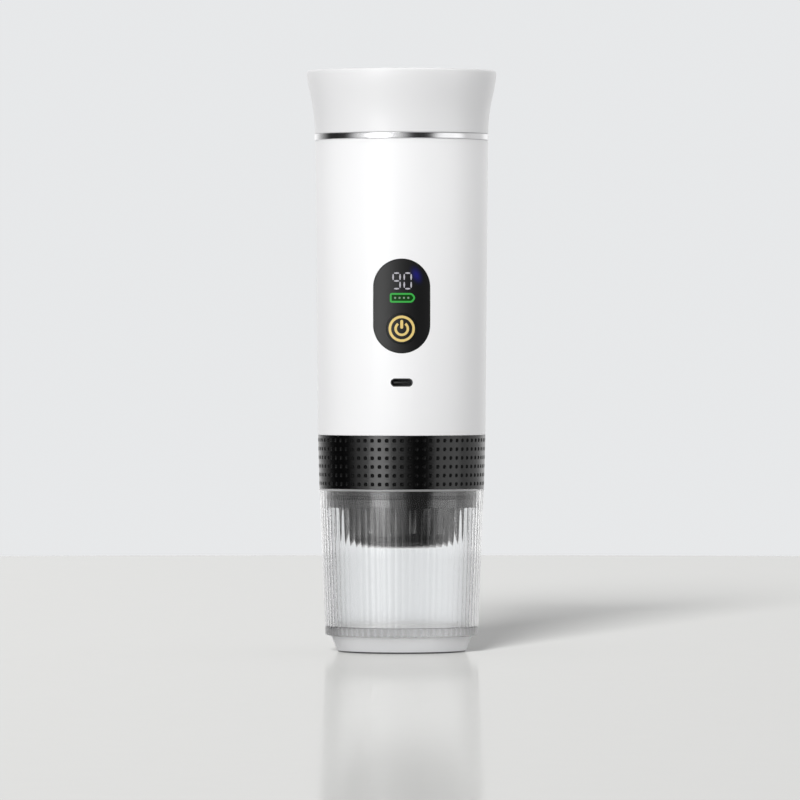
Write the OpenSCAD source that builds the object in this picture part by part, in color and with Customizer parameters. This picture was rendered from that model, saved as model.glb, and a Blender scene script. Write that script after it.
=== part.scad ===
// Portable espresso maker: a battery-driven machine that stands upright on its own fluted cup.
// Millimetres, +Z up, front towards -Y, origin at the centre of the cup's foot on the table.

/* [Heights of the stack] */
// Height of the cup, from the table to its rim
cup_h = 67.7; // [60:0.1:80]
// Height of the dimpled grip band
band_h = 21.9; // [20:0.1:30]
// Height of the white body tube
body_h = 121.7; // [108:0.1:140]
// Height of the polished ring under the lid
ring_h = 2.5; // [2.2:0.1:4]
// Height of the lid above the ring
lid_h = 26.2; // [20:0.1:34]

/* [Cup] */
// Outer radius of the cup at its rim
cup_rim_r = 34.0; // [31:0.1:37]
// Outer radius of the fluted wall at its lower edge
cup_low_r = 31.6; // [30:0.1:33]
// Thickness of the cup's wall
cup_wall = 1.9; // [1.6:0.1:2.4]
// Height of the cup's inner floor above the table
cup_floor_z = 10.5; // [9:0.1:14]
// Height of the conical foot
foot_h = 6.9; // [5:0.1:8]
// Radius of the foot on the table
foot_r = 26.6; // [24:0.1:28]
// Radius of the foot where it meets the fluted wall
foot_top_r = 29.2; // [28.5:0.1:30]
// Depth of the hollow under the foot
foot_hollow = 1.0; // [0.5:0.1:2]
// Number of flutes round the cup
flute_count = 72; // [48:1:80]
// Radius of the cutter that makes a flute
flute_r = 0.8; // [0.6:0.05:1]
// Depth of a flute
flute_depth = 0.25; // [0.2:0.05:0.6]
// Height of the smooth band under the cup's rim
cup_band_h = 7.7; // [5:0.1:12]

/* [Grip band] */
// Thickness of the rubber band
band_t = 1.6; // [1.2:0.1:1.9]
// Rows of dimples
dimple_rows = 6; // [4:1:7]
// Dimples in a row
dimple_cols = 70; // [40:1:80]
// Radius of a dimple
dimple_r = 0.7; // [0.4:0.05:0.9]
// Depth of a dimple
dimple_depth = 0.45; // [0.2:0.05:0.8]
// Distance of the outer rows from the band's edges
dimple_margin = 2.0; // [1.5:0.1:3]

/* [Body tube] */
// Outer radius of the body at its lower end
body_low_r = 34.6; // [32:0.1:38]
// How much the body's radius grows to its upper end
body_flare = 1.1; // [0:0.1:3]
// Wall of the body tube
shell_wall = 2.3; // [2.1:0.05:2.5]

/* [Display panel and key] */
// Width of the panel
panel_w = 23.2; // [20:0.1:26]
// Height of the panel
panel_h = 38.6; // [34:0.1:44]
// Height of the panel's centre above the grip band
panel_up = 53.1; // [45:0.1:56]
// Thickness of the panel
panel_t = 1.5; // [1.2:0.05:1.7]
// Width of the ledge in the tube that carries the panel
panel_ledge = 1.4; // [1:0.1:2]
// Height of the key's centre above the panel's lower end
key_up = 10; // [9:0.1:12]
// Radius of the key
key_r = 6.1; // [5.8:0.05:7]
// Width of the key's rim outside the ring let into it
key_rim = 0.6; // [0.5:0.05:1.2]
// Width of that ring
key_ring_w = 1.25; // [0.8:0.05:1.6]
// Travel of the key
key_travel = 0.5; // [0.3:0.05:0.6]

/* [Charging socket] */
// Width of the socket
usb_w = 8.94; // [8.8:0.01:9.1]
// Height of the socket
usb_h = 3.26; // [3.2:0.01:3.4]
// Depth of the socket
usb_len = 7.3; // [6.9:0.1:7.6]
// Height of the socket's centre above the grip band
usb_up = 21.8; // [20:0.1:24]

/* [Lid] */
// Step from the polished ring in to the lid's lower edge
lid_step = 0.2; // [0:0.05:0.6]
// How much the lid's radius grows to its upper edge
lid_flare = 3.3; // [1:0.1:6]
// Wall of the lid
lid_wall = 2.2; // [1.8:0.1:2.6]
// Depth of the dished top
dish_depth = 2.0; // [1:0.1:4]
// Radius of the rounding on the lid's top edge
lid_edge_r = 1.0; // [0.6:0.1:1.2]

/* [Ring and tank] */
// Step from the body tube out to the polished ring
ring_proud = 0.3; // [0.1:0.05:1]
// Wall of the insulating sleeve round the tank
sleeve_t = 1.68; // [1.2:0.02:2.4]
// Wall of the water tank
tank_wall = 0.8; // [0.6:0.05:0.9]
// Height of the film heater on the tank
heater_h = 22; // [14:1:30]

/* [Cells and pump] */
// Diameter of a battery cell with its sleeve
cell_d = 18.4; // [17.5:0.1:19.5]
// Length of a battery cell
cell_len = 65; // [60:0.1:71]
// Radius of the pump's yoke
yoke_r = 11.2; // [10.6:0.1:11.6]
// Stroke of the pump's plunger
stroke = 3.5; // [2.5:0.1:4]
// Lift of the outlet valve
valve_lift = 1.2; // [0.8:0.1:1.4]

/* [Brew group] */
// Depth of the skirt that enters the cup
skirt_h = 7.2; // [6.5:0.1:9]
// Wall of the skirt between the cup seal and the holder
skirt_wall = 2.25; // [2:0.05:3]
// Step from the holder's upper part in to its grip
grip_inset = 0.5; // [0.3:0.05:1]
// How much the grip's radius shrinks to its lower end
grip_taper = 1.6; // [0:0.1:2]
// Distance that the holder reaches below the cup's rim
holder_below = 24.7; // [24:0.1:27]
// Radius of the flat under the holder
holder_flat_r = 13; // [10:0.5:16]
// Number of grip grooves on the holder
grip_count = 18; // [12:1:24]
// Depth of the coffee basket
basket_depth = 22; // [18:0.5:23]
// Wall of the holder round the basket
holder_wall = 3.2; // [2.5:0.1:4]
// Wall of the basket
basket_wall = 0.5; // [0.4:0.05:0.6]

/* [Hidden] */
$fn = 96;
// Clearances: between pieces that stay together, between pieces that move, and of a sliding fit
fit = 0.1;
run = 0.3;
slide = 0.05;
// Small overshoot of a cutter past the face that it opens
over = 1;

// Levels of the stack
z_rim = cup_h;
z_band = z_rim + band_h;
z_body = z_band + body_h;
z_ring = z_body + ring_h;
z_top = z_ring + lid_h;

// Radius of the body tube's upper end, and radius on a straight taper
body_top_r = body_low_r + body_flare;
function on_line(z, z0, r0, z1, r1) = r0 + (r1 - r0) * (z - z0) / (z1 - z0);
function cup_r(z) = on_line(z, foot_h, cup_low_r, z_rim, cup_rim_r);
function bore_r(z) = cup_r(z) - cup_wall;
function band_r(z) = on_line(z, z_rim, cup_rim_r, z_band, body_low_r);
function shell_r(z) = on_line(z, z_band, body_low_r, z_body, body_top_r);
function shell_in(z) = shell_r(z) - shell_wall;

// Points of an arc in a profile
function arc(cx, cy, r, a0, a1, n) = [for (i = [0:n]) [cx + r * cos(a0 + (a1 - a0) * i / n),
                                                       cy + r * sin(a0 + (a1 - a0) * i / n)]];

// Brew group levels
z_skirt = z_rim - skirt_h;
ceiling_drop = 1.6;
ceiling_t = 4;
water_gap = 2;
gasket_t = 2.2;
spigot_h = 5;
z_ceiling_top = z_band - ceiling_drop;
z_ceiling = z_ceiling_top - ceiling_t;
z_seat = z_ceiling - water_gap;
z_flange = z_seat - gasket_t;
z_spigot = z_band + spigot_h;
flange_t = 0.8;
z_holder = z_flange - flange_t;
z_holder_low = z_rim - holder_below;
screen_t = 0.6;
screen_boss_r = 5;
screen_screw_r = 1.4;
nipple_r = 2.2;
nipple_bore = 1.2;
nipple_h = 5;

// Cup seal in the skirt
seal_wire = 1.0;
z_seal = z_skirt + skirt_h / 2;
seal_mid = bore_r(z_seal) - run - seal_wire;
skirt_gap = 0.45;

// Radii of the brew group, from the cup's bore inwards
group_bore = seal_mid - seal_wire - fit - skirt_wall;
holder_r = group_bore - run;
grip_r = holder_r - grip_inset;
grip_low_r = grip_r - grip_taper;
holder_in = holder_r - holder_wall;
basket_r = holder_in - run - basket_wall;
gasket_lap = 0.4;
gasket_in = basket_r + gasket_lap;
screen_gap = 1;
screen_r = gasket_in - screen_gap;
spigot_wall = 2.75;
spigot_in = shell_in(z_spigot) - fit - spigot_wall;

// Chassis levels
plate_t = 2.5;
plate_gap = 0.5;
z_plate = z_spigot + plate_t;
tab_t = 0.3;
z_cell = z_plate + tab_t;
z_cell_top = z_cell + cell_len;
shelf_gap = 0.5;
shelf_t = 2;
z_shelf = z_cell_top + tab_t + shelf_gap + shelf_t;
plate_r = min(shell_in(z_band), shell_in(z_shelf)) - plate_gap;
pad_t = 1.5;
z_tank = z_shelf + pad_t;
z_tank_in = z_tank + tank_wall;
ring_lip_t = 1.0;
tank_flange_t = 1.0;
z_tank_top = z_ring - ring_lip_t;

// Radii round the tank, from the body tube inwards, and of the ring and lid on it
heater_t = 1.0;
sleeve_gap = 0.6;
sleeve_r = min(shell_in(z_shelf), shell_in(z_body)) - sleeve_gap;
sleeve_in = sleeve_r - sleeve_t;
heater_in = sleeve_in - run - heater_t;
tank_r = heater_in - fit - tank_wall;
ring_r = body_top_r + ring_proud;
lid_low_r = ring_r - lid_step;
lid_top_r = lid_low_r + lid_flare;

// Plan of the cells and the pump
cell_r = cell_d / 2;
cell_gap = 0.8;
cell_off = cell_r + cell_gap;
cells = [[-cell_off, cell_off], [-cell_off, -cell_off], [cell_off, -cell_off]];
pump_gap = 0.6;
pump_off = sqrt(pow(cell_r + yoke_r + pump_gap, 2) / 2 - pow(cell_off, 2));
screw_inset = 2.5;
screw_pcd_r = spigot_in - screw_inset;
screw_r = 1.15;
screw_head_r = 2.3;
boss_r = 3.2;

// Front electronics, and a distance that lies in front of the body tube
reach = max(body_low_r, body_top_r) + over;
z_panel = z_band + panel_up;
z_key = z_panel - panel_h / 2 + key_up;
z_usb = z_band + usb_up;
usb_recess = 0.6;
y_board = -(shell_r(z_usb) - usb_recess - usb_len);
board_t = 1.6;
board_w = 24;
board_foot = 5;
board_head = 3;
rail_w = 4;
rail_gap = 2.6;
rail_d = -(cell_off + cell_r) - rail_gap - (y_board + board_t);
rail_x = board_w / 2 - rail_w / 2;
z_board = z_plate + board_foot;
z_board_top = z_shelf - shelf_t - board_head;
board_screw_in = 4;
key_flange_t = 1.2;
key_flange_w = 1.0;
key_gap = 0.2;
key_ring_r = key_r - key_rim;
display_side = 3.7;
display_down = 4.75;
display_gap = 1;
display_w = panel_w - 2 * panel_ledge - 2 * display_side;
z_display = z_key + key_r + key_flange_w + display_gap;
z_display_top = z_panel + panel_h / 2 - display_down;
y_display = -(sqrt(pow(shell_r(z_display) - panel_t, 2) - pow(display_w / 2, 2)) - run);
tact_h = 3.5;
tact_free = 0.15;
y_tact = y_board - tact_h;

// Pump levels
mount_t = 2.5;
head_r = 6.8;
barrel_r = 5.2;
z_pump = z_plate + mount_t;
head_h = 20.4;
barrel_h = 30;
z_head = z_pump + head_h;
z_barrel = z_head + barrel_h;
coil_h = 20;
yoke_t = 1.7;
armature_r = 4.1;
armature_h = 20;
nose_r = 2.0;
nose_spare = 0.5;
top_wall = 2;
spring_seat = 2;
chamber_r = 3.2;
chamber_floor = 2;
chamber_spare = 1.7;
valve_r = 2.7;
valve_t = 1.4;
valve_stem_h = 1.2;
chamber_h = valve_t + valve_stem_h + valve_lift + chamber_spare;
z_armature_top = z_barrel - top_wall - run;
z_armature = z_armature_top - armature_h;
z_spring = z_head - spring_seat;
z_chamber = z_pump + chamber_floor;
z_valve_seat = z_chamber + chamber_h;
nose_h = z_armature - z_valve_seat - stroke - nose_spare;
hose_wall = 1.3;

// Solid of revolution about Z from a profile of radius and height
module turned(profile) rotate_extrude() polygon(profile);

// Tube between two radii and two heights
module tube(r_in, r_out, z0, z1) turned([[r_in, z0], [r_out, z0], [r_out, z1], [r_in, z1]]);

// Round rod along Z
module rod(r, z0, z1) translate([0, 0, z0]) cylinder(r = r, h = z1 - z0);

// Round rod along Y at a height
module rod_y(r, y0, y1, z) translate([0, y1, z]) rotate([90, 0, 0]) cylinder(r = r, h = y1 - y0);

// Block centred on X, between two Y values and two heights
module block(w, y0, y1, z0, z1) translate([-w / 2, y0, z0]) cube([w, y1 - y0, z1 - z0]);

// Layer of the body tube, between two depths under its outer face
module skin(outer, inner, z0, z1) turned([[shell_r(z0) - inner, z0], [shell_r(z0) - outer, z0],
                                          [shell_r(z1) - outer, z1], [shell_r(z1) - inner, z1]]);

// Upright slot with round ends, cut along Y from the axis to the front
module slot_2d(w, h) {
    square([w, h - w], center = true);
    for (s = [-1, 1]) translate([0, s * (h - w) / 2]) circle(d = w);
}
module slot_y(w, h, y0, y1, z) translate([0, y1, z]) rotate([90, 0, 0]) linear_extrude(y1 - y0) slot_2d(w, h);

// Places on the pump's axis, and on the circle of chassis screws
module at_pump() translate([pump_off, pump_off, 0]) children();
module at_screws() for (i = [0:3]) rotate(45 + 90 * i) translate([screw_pcd_r, 0, 0]) children();

// Rings of holes in a perforated disc
module hole_rings(pitch, rings, r, z0, z1) for (k = [1:rings], i = [0:6 * k - 1])
    rotate(60 * i / k) translate([pitch * k, 0, 0]) rod(r, z0, z1);

// Wound spring: an unbroken tube of six sides along a helix with flat ends
spring_rings = 8;
function helix(r, z0, z1, turns, i) = let (n = turns * spring_rings, a = 360 * i / spring_rings)
    [r * cos(a), r * sin(a), z0 + (z1 - z0) * i / n];
function spring_gap(r, z0, z1, turns, wire) = let (n = turns * spring_rings)
    min([for (i = [0:n], j = [i + spring_rings / 2:1:n])
        norm(helix(r, z0, z1, turns, i) - helix(r, z0, z1, turns, j))]) - 2 * wire;
module spring(r, z0, z1, turns, wire) {
    n = turns * spring_rings;
    sides = 6;
    points = [for (i = [0:n], s = [0:sides - 1]) let (a = 360 * i / spring_rings, b = 360 * s / sides)
        helix(r, z0 + wire, z1 - wire, turns, i) + wire * [cos(b) * cos(a), cos(b) * sin(a), sin(b)]];
    walls = [for (i = [0:n - 1], s = [0:sides - 1]) let (p = i * sides + s, q = i * sides + (s + 1) % sides)
        each [[p, q, q + sides], [p, q + sides, p + sides]]];
    ends = [for (s = [1:sides - 2]) each [[0, s + 1, s],
        [n * sides, n * sides + s, n * sides + s + 1]]];
    polyhedron(points, concat(walls, ends));
}

// Cup: fluted tapered wall on a conical foot, with a smooth band under the rim
cup_floor_round = 3;
foot_ring_w = 4;
foot_chamfer = 0.7;
flute_tilt = atan((cup_rim_r - cup_low_r) / (z_rim - foot_h));
module cup() color("gainsboro", 0.5) difference() {
    turned(concat(
        [[0, foot_hollow], [foot_r - foot_ring_w - foot_hollow, foot_hollow], [foot_r - foot_ring_w, 0],
         [foot_r - foot_chamfer, 0], [foot_r, foot_chamfer], [foot_top_r, foot_h],
         [cup_low_r - foot_chamfer, foot_h], [cup_r(foot_h + foot_chamfer), foot_h + foot_chamfer],
         [cup_rim_r, z_rim], [bore_r(z_rim), z_rim]],
        arc(bore_r(cup_floor_z) - cup_floor_round, cup_floor_z + cup_floor_round, cup_floor_round, 0, -90, 6),
        [[0, cup_floor_z]]));
    for (i = [0:flute_count - 1]) rotate(360 * i / flute_count)
        translate([cup_low_r + flute_r - flute_depth, 0, foot_h]) rotate([0, flute_tilt, 0])
            translate([0, 0, -over]) cylinder(r = flute_r, h = z_rim - foot_h - cup_band_h + over, $fn = 32);
}

// Brew group: skirt in the cup, bore for the holder, ceiling, and spigot in the body tube
module group_housing() color("dimgray") difference() {
    union() {
        turned([[group_bore, z_skirt], [bore_r(z_skirt) - skirt_gap, z_skirt],
                [bore_r(z_rim) - skirt_gap, z_rim], [band_r(z_rim) - band_t - fit, z_rim],
                [band_r(z_band) - band_t - fit, z_band], [shell_in(z_band) - fit, z_band],
                [shell_in(z_spigot) - fit, z_spigot], [spigot_in, z_spigot],
                [spigot_in, z_ceiling_top], [0, z_ceiling_top], [0, z_seat - screen_t],
                [screen_boss_r, z_seat - screen_t], [screen_boss_r, z_ceiling], [gasket_in - fit, z_ceiling],
                [gasket_in - fit, z_seat], [group_bore, z_seat]]);
        at_screws() rod(boss_r, z_ceiling, z_spigot);
        at_pump() rod(nipple_r, z_ceiling, z_ceiling_top + nipple_h);
    }
    translate([0, 0, z_seal]) rotate_extrude() translate([seal_mid, 0]) circle(r = seal_wire + fit);
    at_screws() rod(screw_r + fit, z_ceiling_top - over, z_spigot + over);
    at_pump() rod(nipple_bore, z_seat, z_ceiling_top + nipple_h + over);
    rod(screen_screw_r + fit, z_seat - screen_t - over, z_ceiling + over);
}

// O-ring round the skirt
module cup_seal() color("black") translate([0, 0, z_seal]) rotate_extrude()
    translate([seal_mid, 0]) circle(r = seal_wire);

// Rubber band with rows of dimples
dimple_pitch = (band_h - 2 * dimple_margin) / (dimple_rows - 1);
module grip_band() color([0.12, 0.12, 0.13]) difference() {
    turned([[band_r(z_rim) - band_t, z_rim], [band_r(z_rim), z_rim],
            [band_r(z_band), z_band], [band_r(z_band) - band_t, z_band]]);
    for (row = [0:dimple_rows - 1], col = [0:dimple_cols - 1])
        let (z = z_rim + dimple_margin + row * dimple_pitch)
        rotate(360 * (col + 0.5) / dimple_cols) translate([band_r(z) - dimple_depth, 0, z])
            rotate([0, 90, 0]) cylinder(r = dimple_r, h = dimple_depth + over, $fn = 16);
}

// Perforated disc that spreads the water over the coffee
z_screen = z_seat - screen_t;
shower_hole_r = 0.75;
shower_pitch = 3.2;
shower_edge = 1.2;
shower_rings = floor((screen_r - shower_edge - shower_hole_r) / shower_pitch);
module shower_screen() color("silver") difference() {
    rod(screen_r, z_screen - screen_t, z_screen);
    rod(screen_screw_r + fit, z_screen - screen_t - over, z_screen + over);
    difference() {
        hole_rings(shower_pitch, shower_rings, shower_hole_r, z_screen - screen_t - over, z_screen + over);
        rod(screen_boss_r, z_screen - screen_t - 2 * over, z_screen + 2 * over);
    }
}

// Pan-head screw in the middle of the disc
screen_head_r = 2.6;
screen_head_h = 0.8;
screen_slot_w = 0.6;
module shower_screw() color("silver") difference() {
    union() {
        rod(screen_head_r, z_screen - screen_t - screen_head_h, z_screen - screen_t);
        rod(screen_screw_r, z_screen - screen_t - fit, z_ceiling);
    }
    block(screen_slot_w, -screen_head_r, screen_head_r, z_screen - screen_t - screen_head_h - over,
          z_screen - screen_t - screen_head_h / 2);
}

// Ring that the basket's flange presses against
module group_gasket() color("black") tube(gasket_in, group_bore - fit, z_flange, z_seat);

// Coffee basket: drawn cup with a rolled flange and an inward lip at its floor
basket_taper = 1.0;
basket_lip = 1.2;
z_basket = z_holder - basket_depth;
flange_inset_r = 0.8;
basket_flange_r = holder_r - flange_inset_r;
module filter_basket() color("silver") turned([
    [basket_r - basket_taper - basket_lip, z_basket], [basket_r - basket_taper + basket_wall, z_basket],
    [basket_r + basket_wall, z_holder], [basket_flange_r, z_holder], [basket_flange_r, z_flange],
    [basket_r, z_flange], [basket_r - basket_taper, z_basket + basket_wall],
    [basket_r - basket_taper - basket_lip, z_basket + basket_wall]]);

// Perforated floor of the basket
basket_hole_r = 0.6;
basket_pitch = 3.0;
basket_edge = 1;
basket_rings = floor((basket_r - basket_taper - basket_lip - basket_edge - basket_hole_r) / basket_pitch);
module basket_screen() color("silver") difference() {
    rod(basket_r - basket_taper - fit, z_basket + basket_wall, z_basket + basket_wall + screen_t);
    hole_rings(basket_pitch, basket_rings, basket_hole_r, z_basket, z_basket + basket_wall + screen_t + over);
}

// Filter holder: seat for the basket, funnel to the spout, tapered grip with grooves
holder_step = 0.5;
funnel_gap = 3;
funnel_h = 7;
spout_r = 3;
dome_h = 6.5;
z_funnel = z_basket - funnel_gap;
z_grip = z_holder_low + dome_h;
z_grip_top = z_skirt - holder_step;
grip_tilt = atan(grip_taper / (z_grip_top - z_grip));
groove_r = 1.5;
groove_depth = 0.5;
dome_n = 8;
module filter_holder() color("dimgray") difference() {
    turned(concat([[spout_r, z_holder_low], [holder_flat_r, z_holder_low]],
        [for (i = [1:dome_n]) [holder_flat_r + (grip_low_r - holder_flat_r) * sin(90 * i / dome_n),
                               z_holder_low + dome_h * (1 - cos(90 * i / dome_n))]],
        [[grip_r, z_grip_top], [holder_r, z_grip_top + holder_step], [holder_r, z_holder],
         [holder_in, z_holder], [holder_in, z_funnel], [spout_r, z_funnel - funnel_h]]));
    for (i = [0:grip_count - 1]) rotate(360 * (i + 0.5) / grip_count)
        translate([grip_low_r + groove_r - groove_depth, 0, z_grip]) rotate([0, grip_tilt, 0])
            rod(groove_r, -dome_h - over, z_grip_top - z_grip - holder_step);
}

// Body tube: tapered, with the panel's pocket and window and the charging slot
pocket_z0 = z_panel - panel_h / 2 - 2 * over;
pocket_z1 = z_panel + panel_h / 2 + 2 * over;
usb_gap = 0.2;
module outer_shell() color("white") difference() {
    skin(0, shell_wall, z_band, z_body);
    intersection() {
        skin(-over, panel_t + fit, pocket_z0, pocket_z1);
        slot_y(panel_w + 2 * fit, panel_h + 2 * fit, -reach - over, 0, z_panel);
    }
    slot_y(panel_w - 2 * panel_ledge, panel_h - 2 * panel_ledge, -reach, 0, z_panel);
    usb_slot(usb_w + 2 * usb_gap, usb_h + 2 * usb_gap, -reach, 0);
}

// Gloss panel, bent like the tube, with the hole for the key
module display_panel() color([0.05, 0.05, 0.06]) difference() {
    intersection() {
        skin(0, panel_t, pocket_z0, pocket_z1);
        slot_y(panel_w, panel_h, -reach, 0, z_panel);
    }
    rod_y(key_r + key_gap, -reach, 0, z_key);
}

// Power key: bent cap with a groove for its ring, a flange behind the panel and a stem for the switch
key_ring_t = 0.5;
stem_r = 2;
module key_slice(r, outer, inner) intersection() {
    skin(outer, inner, z_key - 2 * key_r, z_key + 2 * key_r);
    rod_y(r, -reach, 0, z_key);
}
module power_button() color([0.06, 0.06, 0.07]) difference() {
    union() {
        key_slice(key_r, 0, panel_t + run + key_flange_t / 2);
        key_slice(key_r + key_flange_w, panel_t + run, panel_t + run + key_flange_t);
        rod_y(stem_r, -shell_r(z_key) + panel_t, y_tact - key_travel - tact_free, z_key);
    }
    difference() {
        key_slice(key_ring_r + fit / 2, -over, key_ring_t);
        rod_y(key_ring_r - key_ring_w - fit / 2, -reach - over, over, z_key);
    }
}

// Ring let into the key
module button_ring() color("goldenrod") difference() {
    key_slice(key_ring_r, 0, key_ring_t);
    rod_y(key_ring_r - key_ring_w, -reach - over, over, z_key);
}

// Charging socket: drawn sleeve with a contact tongue
usb_wall = 0.3;
tongue_w = 6.7;
tongue_t = 0.7;
tongue_back = 1.2;
module usb_slot(w, h, y0, y1) translate([0, y1, z_usb]) rotate([90, 0, 0]) rotate(90)
    linear_extrude(y1 - y0) slot_2d(h, w);
module usb_socket() color("silver") {
    difference() {
        usb_slot(usb_w, usb_h, y_board - usb_len, y_board);
        usb_slot(usb_w - 2 * usb_wall, usb_h - 2 * usb_wall, y_board - usb_len - over, y_board - usb_wall);
    }
    block(tongue_w, y_board - usb_len + tongue_back, y_board - usb_wall / 2, z_usb - tongue_t / 2,
          z_usb + tongue_t / 2);
}

// Circuit board behind the panel
board_screw_r = 0.9;
board_head_r = 1.6;
board_head_h = 1.2;
board_screw_l = 4;
module at_board_screws()
    for (x = [-rail_x, rail_x], z = [z_board + board_screw_in, z_board_top - board_screw_in])
        translate([x, 0, z]) children();
module main_board() color("darkgreen") difference() {
    block(board_w, y_board, y_board + board_t, z_board, z_board_top);
    at_board_screws() rod_y(board_screw_r + fit, y_board - over, y_board + board_t + over, 0);
}

// Screws from the board into the chassis rails
module board_screws() color("silver") at_board_screws() {
    rod_y(board_head_r, y_board - board_head_h, y_board, 0);
    rod_y(board_screw_r, y_board - fit, y_board + board_screw_l, 0);
}

// Digit module on the board
module display_module() color("black")
    block(display_w, y_display, y_board, z_display, z_display_top);

// Switch behind the key
tact_w = 6;
tact_cap_h = 0.8;
tact_cap_r = 1.7;
module tact_switch() color("gray") {
    block(tact_w, y_tact + tact_cap_h, y_board, z_key - tact_w / 2, z_key + tact_w / 2);
    rod_y(tact_cap_r, y_tact, y_tact + tact_cap_h + fit, z_key);
}

// Chassis: lower plate, upper shelf, posts and the rails for the board
post_w = 10;
post_d = 4;
post_inset = 1;
hose_hole_r = nipple_r + hose_wall + run + fit;
module chassis() color([0.2, 0.2, 0.22]) difference() {
    union() {
        rod(plate_r, z_spigot, z_plate);
        rod(plate_r, z_shelf - shelf_t, z_shelf);
        for (i = [0:2]) rotate(90 * i) translate([plate_r - post_d - post_inset, -post_w / 2, z_plate - fit])
            cube([post_d, post_w, z_shelf - z_plate - shelf_t + 2 * fit]);
        for (s = [-1, 1]) translate([s * rail_x, 0, 0])
            block(rail_w, y_board + board_t, y_board + board_t + rail_d,
                  z_plate - fit, z_shelf - shelf_t + fit);
    }
    at_screws() rod(screw_r + 2 * fit, z_spigot - over, z_plate + over);
    at_screws() rod(screw_head_r + fit, z_plate - screw_head_h, z_plate + over);
    block(2 * plate_r, -plate_r - over, y_board + board_t, z_shelf - shelf_t - over, z_shelf + over);
    at_pump() rod(hose_hole_r, z_spigot - over, z_plate + over);
    at_pump() rod(nipple_r + run, z_shelf - shelf_t - over, z_shelf + over);
    rod(sensor_r + run, z_shelf - shelf_t - over, z_shelf + over);
    at_board_screws() rod_y(board_screw_r + fit, y_board, y_board + board_screw_l + fit, 0);
}

// Screws from the chassis into the brew group
screw_l = 8;
screw_head_h = 1.6;
screw_hex_r = 1;
module chassis_screws() color("silver") at_screws() difference() {
    union() {
        rod(screw_head_r, z_plate - screw_head_h, z_plate);
        rod(screw_r, z_plate - screw_l, z_plate - screw_head_h + fit);
    }
    translate([0, 0, z_plate - screw_head_h / 2]) cylinder(r = screw_hex_r, h = screw_head_h, $fn = 6);
}

// Battery cells with a raised cap at the top
cap_r = 3;
cap_h = 1;
module battery_cells() color("seagreen") for (c = cells) translate([c.x, c.y, 0]) {
    rod(cell_r, z_cell, z_cell_top - cap_h);
    rod(cap_r, z_cell_top - cap_h - fit, z_cell_top);
}

// Spacer plate round the cells, the pump, the posts and the board's rails
cradle_t = 3;
cradle_up = 29;
z_cradle = z_cell + cradle_up;
module cell_cradle() color([0.25, 0.25, 0.27]) difference() {
    rod(plate_r, z_cradle, z_cradle + cradle_t);
    for (c = cells) translate([c.x, c.y, 0]) rod(cell_r + fit, z_cradle - over, z_cradle + cradle_t + over);
    at_pump() rod(yoke_r + 4 * fit, z_cradle - over, z_cradle + cradle_t + over);
    for (i = [0:2]) rotate(90 * i)
        translate([plate_r - post_d - post_inset - fit, -post_w / 2 - fit, z_cradle - over])
            cube([post_d + 2 * over, post_w + 2 * fit, cradle_t + 2 * over]);
    block(2 * plate_r, -plate_r - over, y_board + board_t + rail_d + run, z_cradle - over,
          z_cradle + cradle_t + over);
}

// Nickel strips under and over the cells
tab_reach = 4;
module tab(from, to, z) translate([min(from.x, to.x) - tab_reach, min(from.y, to.y) - tab_reach, z])
    cube([abs(to.x - from.x) + 2 * tab_reach, abs(to.y - from.y) + 2 * tab_reach, tab_t]);
module cell_tabs() color("lightgray") {
    tab(cells[0], cells[1], z_plate);
    tab(cells[2], cells[2], z_plate);
    tab(cells[1], cells[2], z_cell_top);
    tab(cells[0], cells[0], z_cell_top);
}

// Rubber ring under the pump
mount_r = 8.5;
module pump_mount() color("black") at_pump() tube(hose_hole_r, mount_r, z_plate, z_pump);

// Pump head and barrel: outlet nipple, valve chamber, cylinder, armature bore and inlet nipple
pump_nipple_h = 6;
module pump_body() color("ivory") at_pump() difference() {
    union() {
        rod(nipple_r, z_pump - pump_nipple_h, z_pump + fit);
        rod(head_r, z_pump, z_head);
        rod(barrel_r, z_head - fit, z_barrel);
        rod(nipple_r, z_barrel - fit, z_barrel + pump_nipple_h);
    }
    rod(nipple_bore, z_pump - pump_nipple_h - over, z_chamber + over);
    rod(chamber_r, z_chamber, z_valve_seat);
    rod(nose_r + slide, z_valve_seat - over, z_spring + over);
    rod(armature_r + slide, z_spring, z_barrel - top_wall);
    rod(nipple_bore, z_barrel - top_wall - over, z_barrel + pump_nipple_h + over);
}

// Winding on the barrel, between the yoke's plates
coil_gap = 0.4;
module pump_coil() color("peru") at_pump()
    tube(barrel_r + fit, yoke_r - yoke_t / 2 - coil_gap, z_head + yoke_t, z_head + yoke_t + coil_h);

// Steel yoke: two end plates and two side straps round the winding
strap_w = 12;
module pump_yoke() color("slategray") at_pump() difference() {
    turned([[barrel_r + fit, z_head], [yoke_r, z_head], [yoke_r, z_head + 2 * yoke_t + coil_h],
            [barrel_r + fit, z_head + 2 * yoke_t + coil_h], [barrel_r + fit, z_head + yoke_t + coil_h],
            [yoke_r - yoke_t / 2, z_head + yoke_t + coil_h], [yoke_r - yoke_t / 2, z_head + yoke_t],
            [barrel_r + fit, z_head + yoke_t]]);
    for (s = [-1, 1]) rotate(45) translate([s * yoke_r, 0, z_head + yoke_t + coil_h / 2])
        cube([yoke_r, strap_w, coil_h - 2 * yoke_t], center = true);
}

// Plunger: armature with a through bore and a piston nose
module plunger() color("silver") at_pump() difference() {
    union() {
        rod(armature_r, z_armature, z_armature_top);
        rod(nose_r, z_armature - nose_h, z_armature + fit);
    }
    rod(nipple_bore, z_armature - nose_h - over, z_armature_top + over);
}

// Spring under the armature
spring_wire = 0.4;
spring_r = 3.1;
spring_turns = 5;
module plunger_spring() color("silver") at_pump() spring(spring_r, z_spring + slide, z_armature - slide,
                                                        spring_turns, spring_wire);
echo(plunger_spring_gap = spring_gap(spring_r, z_spring, z_armature, spring_turns, spring_wire));

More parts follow.
